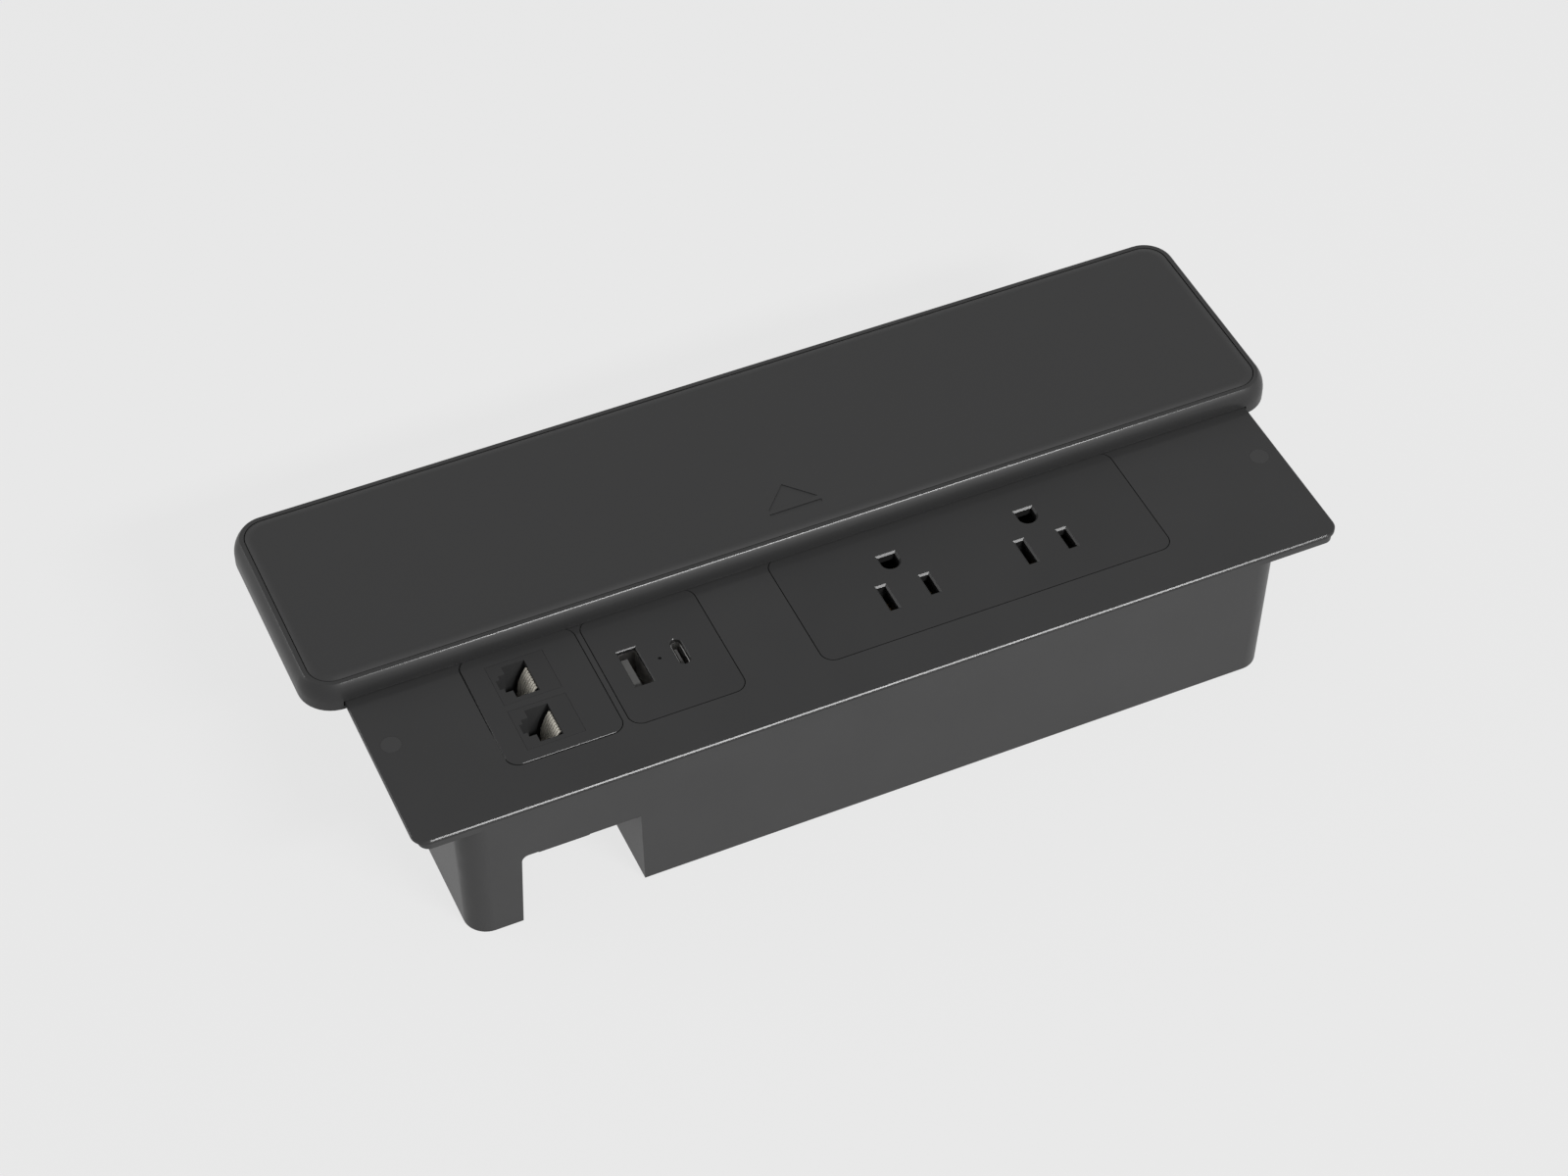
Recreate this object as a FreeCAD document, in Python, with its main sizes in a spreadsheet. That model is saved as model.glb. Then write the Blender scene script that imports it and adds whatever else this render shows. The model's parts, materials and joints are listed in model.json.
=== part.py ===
# In-desk power module with a sliding lid, as a parametric document in millimetres.
# The origin is in the middle of the deck, on the plane of the desk surface: X runs along
# the deck, Y points to the side where the lid opens, and Z points up.
import FreeCAD, Part
import math
import os
import re
import Sketcher

SIZES = {
    # Deck: a thin plate on the moulded flange of the housing.
    "deck_depth": 69.0,
    "plate_thickness": 1.2,
    "flange_thickness": 1.8,
    "lip_overhang": 1.5,
    "deck_corner_radius": 4.3,
    "flange_corner_radius": 3.0,
    "deck_edge_chamfer": 0.28,
    # Along the deck, from its left end: a margin, the modules with bars between them, and a
    # margin. A module's width runs between the middles of the gaps at its ends.
    "left_margin": 31.55,
    "data_width": 33.1,
    "data_usb_bar": 1.725,
    "usb_width": 33.55,
    "usb_duplex_bar": 22.15,
    "duplex_width": 105.85,
    "right_margin": 44.675,
    # Holes for the two screws that hold the module to the desk, and the caps over them.
    "fixing_inset": 6.1,
    "fixing_offset": 0.4,
    "fixing_hole_diameter": 3.4,
    "fixing_countersink": 0.8,
    "cap_diameter": 5.6,
    "cap_gap": 0.04,
    # Housing: a moulded tub, open below at the data end.
    "housing_left_inset": 11.95,
    "housing_right_inset": 18.05,
    "bay_wall_inset": 2.85,
    "housing_height": 43.3,
    "housing_corner_radius": 7.6,
    "cavity_corner_radius": 1.0,
    "wall_thickness": 2.0,
    "floor_thickness": 2.0,
    "draft_angle": 1.25,
    "cable_notch_top": 16.3,
    "cable_notch_inset": 16.85,
    "cable_notch_lean": 1.7,
    "cable_notch_radius": 2.0,
    "rib_thickness": 1.6,
    "rib_height": 14.0,
    "rib_nose": 3.0,
    "rib_inset": 3.0,
    "rib_latch_inset": 9.0,
    # Screw posts of the housing and bosses of the plate.
    "post_inset": 6.2,
    "post_diameter": 9.0,
    "post_top": 6.0,
    "post_seat": 12.0,
    "well_diameter": 6.4,
    "boss_diameter": 6.4,
    "screw_diameter": 2.9,
    "screw_gap": 0.15,
    "screw_bite": 5.5,
    "screw_tip_gap": 1.0,
    "screw_head_diameter": 5.6,
    "screw_head_height": 2.2,
    # Cord entry in the back wall.
    "cord_entry_inset": 30.25,
    "cord_entry_level": 27.0,
    "cord_diameter": 8.0,
    "bushing_wall": 1.4,
    "bushing_rim": 2.2,
    "bushing_barrel": 5.0,
    "bushing_gap": 0.1,
    # Face plates of the three modules: one line at the back, and a depth of its own for each.
    "module_back": 20.25,
    "data_depth": 40.4,
    "usb_depth": 40.3,
    "duplex_depth": 40.8,
    "module_corner_radius": 3.8,
    "window_gap": 0.25,
    "ledge_width": 1.8,
    "ledge_thickness": 1.4,
    "ledge_corner_radius": 1.0,
    "data_rise": 0.2,
    "data_edge_chamfer": 0.12,
    # Outlets of the duplex module.
    "outlet_pitch": 42.2,
    "blade_spacing": 12.7,
    "blade_forward": 5.55,
    "slot_width": 2.45,
    "neutral_slot_length": 8.9,
    "hot_slot_length": 7.2,
    "ground_radius": 2.6,
    "ground_centre": 6.55,
    "ground_flat": 9.15,
    "slot_chamfer": 0.5,
    "duplex_body_inset": 2.925,
    "duplex_body_depth": 34.0,
    "duplex_body_height": 20.0,
    "body_corner_radius": 3.0,
    "duplex_screw_inset": 4.5,
    "contact_drop": 14.0,
    "contact_head_gap": 1.5,
    "leaf_thickness": 0.8,
    "leaf_depth": 7.4,
    "ground_leaf_overhang": 2.2,
    "blade_grip": 1.4,
    "ground_grip": 4.6,
    "strap_width": 3.0,
    "strap_gap": 0.25,
    "strap_drop": 2.0,
    "neutral_strap_inset": 4.5,
    "hot_strap_row": 1.3,
    "ground_strap_inset": 4.0,
    "tab_reach": 8.0,
    # USB module.
    "usb_a_shift": 8.1,
    "usb_a_forward": 0.65,
    "usb_a_hole_width": 5.35,
    "usb_a_hole_length": 13.3,
    "usb_c_shift": 5.05,
    "usb_c_forward": 0.35,
    "usb_c_hole_width": 3.2,
    "usb_c_hole_length": 9.25,
    "port_chamfer": 0.25,
    "shell_thickness": 0.3,
    "shell_gap": 0.08,
    "shell_relief_gap": 0.1,
    "tongue_foot_height": 2.2,
    "tongue_a_thickness": 1.9,
    "tongue_a_length": 11.1,
    "tongue_a_shift": 1.0,
    "tongue_a_top_gap": 1.4,
    "contact_a_width": 1.0,
    "contact_a_thickness": 0.3,
    "contact_a_inner_pitch": 2.0,
    "contact_a_outer_pitch": 7.0,
    "tongue_c_foot": 4.0,
    "tongue_c_thickness": 0.7,
    "tongue_c_length": 6.7,
    "tongue_c_top_gap": 1.6,
    "status_shift": 0.95,
    "status_forward": 0.55,
    "status_diameter": 1.0,
    "status_depth": 0.4,
    "status_foot_rim": 0.7,
    "board_level": 9.0,
    "board_thickness": 1.6,
    "board_gap": 0.4,
    "cover_inset": 0.6,
    "usb_cover_wall": 1.5,
    "usb_cover_height": 29.0,
    "usb_screw_inset": 4.25,
    "well_gap": 0.3,
    "screw_seat_thickness": 2.5,
    # Parts under the USB board.
    "transformer_shift": 4.0,
    "transformer_forward": 2.0,
    "core_width": 10.0,
    "core_length": 14.0,
    "core_height": 11.0,
    "core_corner_radius": 0.6,
    "winding_width": 13.0,
    "winding_length": 10.0,
    "winding_height": 7.0,
    "winding_drop": 2.0,
    "winding_corner_radius": 2.0,
    "capacitor_shift": 8.0,
    "capacitor_spacing": 9.0,
    "capacitor_backward": 0.5,
    "capacitor_diameter": 6.5,
    "capacitor_height": 12.0,
    # Data module.
    "jack_shift": 1.85,
    "jack_forward": 9.0,
    "jack_pitch": 16.9,
    "jack_face_length": 16.4,
    "jack_face_depth": 14.5,
    "jack_face_gap": 0.12,
    "jack_shoulder": 6.0,
    "jack_trunk_inset": 0.4,
    "jack_body_height": 20.0,
    "jack_cap_height": 21.3,
    "jack_cap_overlap": 1.5,
    "jack_cap_roof": 4.5,
    "jack_cap_bore": 7.0,
    "jack_cap_inset": 0.2,
    "jack_cap_overhang": 0.3,
    "jack_cap_radius": 1.0,
    "wire_slot_pitch": 3.4,
    "wire_slot_width": 1.0,
    "wire_slot_depth": 1.6,
    "collar_thickness": 1.4,
    "collar_inset": 1.0,
    "hook_reach": 1.3,
    "hook_root": 1.0,
    "hook_gap": 0.1,
    "hook_edge": 0.7,
    "hook_height": 3.4,
    "hook_width": 6.0,
    "plug_right": 2.5,
    "plug_length": 6.6,
    "plug_width": 11.68,
    "plug_reach": 12.5,
    "latch_length": 2.0,
    "latch_width": 6.3,
    "latch_tip_length": 1.1,
    "latch_tip_width": 3.3,
    "contact_count": 8,
    "contact_pitch": 1.02,
    "contact_width": 0.8,
    "contact_thickness": 0.36,
    "contact_wall_gap": 0.05,
    "contact_top_drop": 1.2,
    "contact_bend_radius": 17.0,
    "contact_bend_height": 9.5,
    # Lid: a frame with bulging skirts, an inset panel and two runners.
    "lid_overhang": 9.9,
    "lid_extra_depth": 1.9,
    "lid_cover": 15.1,
    "lid_corner_radius": 10.0,
    "lid_top": 8.5,
    "lid_desk_gap": 0.4,
    "lid_straight": 2.6,
    "lid_bulge_slope": 18.8,
    "lid_hollow_slope": 13.0,
    "lid_wall": 1.5,
    "lid_web": 1.4,
    "lid_edge_chamfer": 0.28,
    "rim_width": 1.3,
    "gate_wall_gap": 1.3,
    "panel_thickness": 1.8,
    "panel_gap": 0.25,
    "panel_rise": 0.78,
    "panel_crown_radius": 4.9,
    "panel_crown_width": 2.8,
    "peg_diameter": 3.0,
    "peg_gap": 0.1,
    "peg_tip": 0.3,
    "lid_travel": 53.5,
    "slide_gap": 0.3,
    "runner_jaw": 1.8,
    "runner_end_radius": 6.0,
    "runner_end_gap": 0.55,
    "runner_side_gap": 0.4,
    "runner_screw_spacing": 22.0,
    "runner_screw_diameter": 2.2,
    "runner_head_diameter": 4.4,
    "runner_head_height": 1.1,
    "runner_head_gap": 0.2,
    "runner_head_sink": 0.25,
    "runner_floor": 1.3,
    "runner_boss_diameter": 4.6,
    "stop_heel_length": 3.0,
    "stop_heel_inset": 7.0,
    "stop_heel_reach": 1.3,
    # Slide mark pressed into the panel.
    "mark_width": 14.9,
    "mark_depth": 0.2,
    "mark_forward": 22.7,
    "mark_height": 8.0,
    "mark_bar_width": 1.1,
    "mark_bar_gap": 1.5,
    "mark_bar_overhang": 0.35,
    # How far a cut runs past the solid that it goes through.
    "cut_margin": 1.0,
}

# Sizes worked out from the driving ones, as text that the sheet can work out.
DERIVED = {
    "small_span": "left_margin + data_width + data_usb_bar + usb_width + usb_duplex_bar",
    "deck_length": "small_span + duplex_width + right_margin",
    "data_middle": "left_margin + data_width / 2 - deck_length / 2",
    "usb_middle": "data_middle + (data_width + usb_width) / 2 + data_usb_bar",
    "duplex_middle": "usb_middle + (usb_width + duplex_width) / 2 + usb_duplex_bar",
    "fixing_spacing": "deck_length - 2 * fixing_inset",
    "deck_top": "flange_thickness + plate_thickness",
    "ledge_level": "flange_thickness - ledge_thickness",
    "bay_half": "deck_depth / 2 - wall_thickness",
    "housing_left_end": "deck_length / 2 - housing_left_inset",
    "housing_right_end": "deck_length / 2 - housing_right_inset",
    "power_bay_end": "bay_wall_inset - data_middle - data_width / 2",
    "cable_notch_left": "housing_left_end - cable_notch_inset",
    "cord_entry_across": "housing_right_end - cord_entry_inset",
    "bushing_diameter": "cord_diameter + 2 * bushing_wall",
    "bushing_rim_diameter": "bushing_diameter + 2 * bushing_rim",
    "bushing_seat": "wall_thickness / 2 + 4 * bushing_gap",
    "post_row": "deck_depth / 2 - post_inset",
    "floor_level": "housing_height - floor_thickness",
    "left_post": "-housing_left_end + post_inset",
    "right_post": "housing_right_end - post_inset",
    "middle_post": "(usb_middle + usb_width / 2 + duplex_middle - duplex_width / 2) / 2",
    "screw_hole": "screw_diameter + 2 * screw_gap",
    "small_screw_hole": "runner_screw_diameter + 2 * screw_gap",
    "blade_row": "-blade_forward",
    "duplex_body_length": "duplex_width - 2 * duplex_body_inset",
    "duplex_right": "duplex_middle + duplex_body_length / 2",
    "neutral_strap_row": "neutral_strap_inset - duplex_body_depth / 2",
    "ground_strap_row": "duplex_body_depth / 2 - ground_strap_inset",
    "duplex_screw_across": "duplex_body_length / 2 - duplex_screw_inset",
    "duplex_screw_row": "duplex_body_depth / 2 - duplex_screw_inset",
    "strap_level": "ledge_level - contact_drop - leaf_thickness - strap_drop",
    "usb_a_across": "usb_middle - usb_a_shift",
    "usb_a_row": "-usb_a_forward",
    "usb_c_across": "usb_middle + usb_c_shift",
    "usb_c_row": "-usb_c_forward",
    "usb_c_width": "usb_c_hole_width - 2 * shell_gap",
    "usb_c_length": "usb_c_hole_length - 2 * shell_gap",
    "status_across": "usb_middle - status_shift",
    "status_row": "-status_forward",
    "board_bottom": "board_level + board_thickness",
    "cover_length": "usb_width - 2 * cover_inset",
    "cover_depth": "usb_depth - 2 * cover_inset",
    "post_gap": "usb_cover_height - ledge_level - board_bottom",
    "usb_screw_across": "cover_length / 2 - usb_cover_wall - usb_screw_inset",
    "usb_screw_row": "cover_depth / 2 - usb_cover_wall - usb_screw_inset",
    "jack_across": "data_middle - jack_shift",
    "jack_front_row": "-jack_forward",
    "data_top": "deck_top + data_rise",
    "jack_window_length": "jack_face_length + jack_face_gap",
    "jack_window_depth": "jack_face_depth + jack_face_gap",
    "jack_shoulder_level": "ledge_level - jack_shoulder",
    "jack_cap_level": "ledge_level - jack_body_height",
    "jack_cap_drop": "jack_cap_height - jack_cap_overlap",
    "plug_right_side": "jack_across + plug_right",
    "lid_length": "deck_length + 2 * lid_overhang",
    "lid_depth": "deck_depth + lid_extra_depth",
    "lid_open_shift": "deck_depth / 2 - lid_cover + lid_depth / 2",
    "lid_bulge_rise": "lid_top - lid_desk_gap - lid_straight",
    "lid_bulge_radius": "lid_bulge_rise / sin(2 * lid_bulge_slope)",
    "lid_edge_inset": "lid_bulge_rise * tan(lid_bulge_slope)",
    "skirt_inset": "lid_wall / cos(lid_hollow_slope)",
    "panel_top": "lid_top + panel_rise",
    "panel_level": "lid_top - panel_thickness",
    "web_level": "panel_level - lid_web",
    "web_inset": "skirt_inset + (web_level - lid_desk_gap) * tan(lid_hollow_slope)",
    "lid_top_length": "lid_length - 2 * lid_edge_inset",
    "lid_top_depth": "lid_depth - 2 * lid_edge_inset",
    "lid_top_radius": "lid_corner_radius - lid_edge_inset",
    "panel_length": "lid_top_length - 2 * (rim_width + panel_gap)",
    "panel_depth": "lid_top_depth - 2 * (rim_width + panel_gap)",
    "panel_radius": "lid_top_radius - rim_width - panel_gap",
    "panel_spread": "panel_crown_radius - panel_crown_width",
    "gate_top": "deck_top + slide_gap",
    "gate_depth": "skirt_inset + gate_top * tan(lid_hollow_slope) + gate_wall_gap",
    "runner_outer": "lid_length / 2 - web_inset - runner_side_gap",
    "runner_inner": "deck_length / 2 + slide_gap",
    "runner_screw_across": "(runner_outer + runner_inner) / 2",
    "runner_half": "lid_depth / 2 - web_inset - runner_end_gap",
    "flange_end": "deck_length / 2 - lip_overhang",
    "runner_lip": "flange_end + slide_gap",
    "lip_bottom": "flange_thickness - slide_gap",
    "heel_front": "lid_open_shift - lid_depth / 2 + stop_heel_inset",
    "heel_back": "heel_front + stop_heel_length",
    "runner_bottom": "lid_desk_gap / 2",
    "runner_seat": "runner_bottom + runner_head_height + runner_head_sink",
    "runner_clamp": "runner_seat + runner_floor",
}

# Steps of the lid's bulging walls, how near two places count as one, and the straight part
# that stays between the round ends of an oblong.
WALL_STEPS = 3
TOUCHING = 0.001
ROUND_END_MARGIN = 0.01

doc = FreeCAD.newDocument("desk_power_module")
sheet = doc.addObject("Spreadsheet::Sheet", "Sizes")
for row, (alias, size) in enumerate(SIZES.items(), start=1):
    sheet.set(f"A{row}", str(size))
    sheet.setAlias(f"A{row}", alias)
doc.recompute()


def formula(text):
    """Writes the text as an expression on the sheet, with each derived size written out."""
    def spell(found):
        word = found.group()
        if word in SIZES:
            return "Sizes." + word
        if word in DERIVED:
            return "(" + formula(DERIVED[word]) + ")"
        return word
    return re.sub(r"[a-z][a-z_]*[a-z]", spell, str(text))


def number(text):
    """The value of a formula, in millimetres or degrees."""
    return float(sheet.evalExpression(formula(text)))


def start_body(label):
    body = doc.addObject("PartDesign::Body", label)
    body.Label = label
    return body


def sketch_on(body, name, level="0", role="XY_Plane"):
    """A sketch on one of the body's own origin planes, moved along the plane's normal."""
    sketch = body.newObject("Sketcher::SketchObject", f"{body.Name}_{name}")
    plane = next(item for item in body.Origin.OriginFeatures if item.Role == role)
    sketch.AttachmentSupport = [(plane, "")]
    sketch.MapMode = "FlatFace"
    sketch.setExpression("AttachmentOffset.Base.z", formula(level))
    return sketch


def pin_point(sketch, item, end, across, along):
    """Holds one point of the sketch at two formulas."""
    for kind, text in (("DistanceX", across), ("DistanceY", along)):
        place = sketch.addConstraint(Sketcher.Constraint(kind, -1, 1, item, end, number(text)))
        sketch.setExpression(f"Constraints[{place}]", formula(text))


def add_polygon(sketch, points):
    """A closed outline with straight sides through the given pairs of formulas."""
    first = sketch.GeometryCount
    count = len(points)
    spots = [FreeCAD.Vector(number(across), number(along), 0) for across, along in points]
    for place in range(count):
        sketch.addGeometry(Part.LineSegment(spots[place], spots[(place + 1) % count]))
    for place in range(count):
        following = first + (place + 1) % count
        sketch.addConstraint(Sketcher.Constraint("Coincident", first + place, 2, following, 1))
        pin_point(sketch, first + place, 1, *points[place])


def add_rectangle(sketch, left, right, front, back, radii=("0", "0", "0", "0")):
    """A rectangle with a radius at each corner: front left, front right, back right, back left."""
    low, high = number(left), number(right)
    near, far = number(front), number(back)
    corners = [(low, near), (high, near), (high, far), (low, far)]
    turns = [number(radius) for radius in radii]
    ways = [(1, 0), (0, 1), (-1, 0), (0, -1)]
    lines = []
    for side in range(4):
        start, stop = corners[side], corners[(side + 1) % 4]
        step = ways[side]
        begin = FreeCAD.Vector(start[0] + turns[side] * step[0], start[1] + turns[side] * step[1], 0)
        after = turns[(side + 1) % 4]
        finish = FreeCAD.Vector(stop[0] - after * step[0], stop[1] - after * step[1], 0)
        lines.append(sketch.addGeometry(Part.LineSegment(begin, finish)))
    for side in range(4):
        before, after = lines[side - 1], lines[side]
        if turns[side] == 0:
            sketch.addConstraint(Sketcher.Constraint("Coincident", before, 2, after, 1))
            continue
        enter, leave = ways[side - 1], ways[side]
        middle = FreeCAD.Vector(
            corners[side][0] + turns[side] * (leave[0] - enter[0]),
            corners[side][1] + turns[side] * (leave[1] - enter[1]), 0)
        opening = {0: 180, 1: 270, 2: 0, 3: 90}[side]
        circle = Part.Circle(middle, FreeCAD.Vector(0, 0, 1), turns[side])
        quarter = Part.ArcOfCircle(circle, math.radians(opening), math.radians(opening + 90))
        arc = sketch.addGeometry(quarter)
        sketch.addConstraint(Sketcher.Constraint("Tangent", before, 2, arc, 1))
        sketch.addConstraint(Sketcher.Constraint("Tangent", arc, 2, after, 1))
        bound = sketch.addConstraint(Sketcher.Constraint("Radius", arc, turns[side]))
        sketch.setExpression(f"Constraints[{bound}]", formula(radii[side]))
    for side, kind in ((0, "Horizontal"), (1, "Vertical"), (2, "Horizontal"), (3, "Vertical")):
        sketch.addConstraint(Sketcher.Constraint(kind, lines[side]))
    for side, kind, text in ((0, "DistanceY", front), (1, "DistanceX", right),
                             (2, "DistanceY", back), (3, "DistanceX", left)):
        bound = sketch.addConstraint(Sketcher.Constraint(kind, -1, 1, lines[side], 1, number(text)))
        sketch.setExpression(f"Constraints[{bound}]", formula(text))


def add_block(sketch, across, row, length, width, radius="0"):
    """A rectangle given by its middle, its length along X and its width along Y."""
    add_rectangle(sketch, f"{across} - ({length}) / 2", f"{across} + ({length}) / 2",
                  f"{row} - ({width}) / 2", f"{row} + ({width}) / 2", (radius,) * 4)


def add_circle(sketch, across, row, diameter):
    spot = FreeCAD.Vector(number(across), number(row), 0)
    circle = sketch.addGeometry(Part.Circle(spot, FreeCAD.Vector(0, 0, 1), number(diameter) / 2))
    pin_point(sketch, circle, 3, across, row)
    bound = sketch.addConstraint(Sketcher.Constraint("Diameter", circle, number(diameter)))
    sketch.setExpression(f"Constraints[{bound}]", formula(diameter))


def volume_of(body):
    return body.Shape.Volume if body.Tip and not body.Shape.isNull() else 0.0


def extrude(kind, body, sketch, length, down, taper, both):
    before = volume_of(body)
    feature = body.newObject(f"PartDesign::{kind}", f"{sketch.Name}_{kind.lower()}")
    feature.Profile = (sketch, [""])
    feature.setExpression("Length", formula(length))
    feature.Reversed = down if kind == "Pad" else not down
    if both:
        feature.SideType = "Symmetric"
    if taper:
        feature.setExpression("TaperAngle", formula(taper))
    doc.recompute()
    change = volume_of(body) - before
    if change * (1 if kind == "Pad" else -1) <= 0:
        raise RuntimeError(f"{feature.Name} changed nothing")
    return feature


def pad(body, sketch, length, down=False, taper=None, both=False):
    """Adds the sketch's area along the plane's normal, or against it, and checks that it added."""
    return extrude("Pad", body, sketch, length, down, taper, both)


def pocket(body, sketch, length, down=True, taper=None, both=False):
    """Cuts the sketch's area away, and checks that it cut."""
    return extrude("Pocket", body, sketch, length, down, taper, both)


def dress(body, kind, names, sizes):
    """A fillet or chamfer on the named edges of the body's last feature."""
    base = body.Tip
    feature = body.newObject(f"PartDesign::{kind}", f"{body.Name}_{kind.lower()}_{len(body.Group)}")
    feature.Base = (base, names)
    for name, text in sizes.items():
        feature.setExpression(name, formula(text))
    body.Tip = feature
    doc.recompute()
    return feature


def edges_where(body, test):
    """Names of the edges of the body's last feature whose box passes the test."""
    return [f"Edge{place}" for place, edge in enumerate(body.Tip.Shape.Edges, start=1) if test(edge)]


def lies_at(edge, level):
    """Whether an edge lies flat at a level."""
    box = edge.BoundBox
    return abs(box.ZMin - level) < TOUCHING and abs(box.ZMax - level) < TOUCHING


def module_row(name):
    """Where the middle of a module's window lies across the deck."""
    return f"module_back - {name}_depth / 2"


def module_edges(name):
    """Left and right ends of a module's window, between the middles of its gaps."""
    return f"{name}_middle - {name}_width / 2", f"{name}_middle + {name}_width / 2"


BAY_POSTS = [("left_post", "-post_row"), ("left_post", "post_row")]
BOX_POSTS = [(across, row) for across in ("middle_post", "right_post") for row in ("-post_row", "post_row")]
POSTS = BAY_POSTS + BOX_POSTS
MODULES = ("data", "usb", "duplex")


def make_deck_plate():
    body = start_body("deck_plate")
    outline = sketch_on(body, "outline", "flange_thickness")
    add_block(outline, "0", "0", "deck_length", "deck_depth", "deck_corner_radius")
    pad(body, outline, "plate_thickness")
    rim = edges_where(body, lambda edge: lies_at(edge, number("deck_top")))
    dress(body, "Chamfer", rim, {"Size": "deck_edge_chamfer"})
    windows = sketch_on(body, "windows", "deck_top")
    for name in MODULES:
        add_block(windows, f"{name}_middle", module_row(name), f"{name}_width + window_gap",
                  f"{name}_depth + window_gap", "module_corner_radius + window_gap / 2")
    pocket(body, windows, "plate_thickness")
    seats = sketch_on(body, "cap_seats", "deck_top")
    for side in ("-", ""):
        add_circle(seats, f"{side}fixing_spacing / 2", "fixing_offset", "cap_diameter + 2 * cap_gap")
    pocket(body, seats, "plate_thickness")
    bosses = sketch_on(body, "bosses", "flange_thickness")
    for across, row in POSTS:
        add_circle(bosses, across, row, "boss_diameter")
    pad(body, bosses, "flange_thickness + post_top", down=True)
    threads = sketch_on(body, "threads", "-post_top")
    for across, row in POSTS:
        add_circle(threads, across, row, "screw_hole")
    pocket(body, threads, "screw_bite + screw_tip_gap", down=False)
    return body


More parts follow.
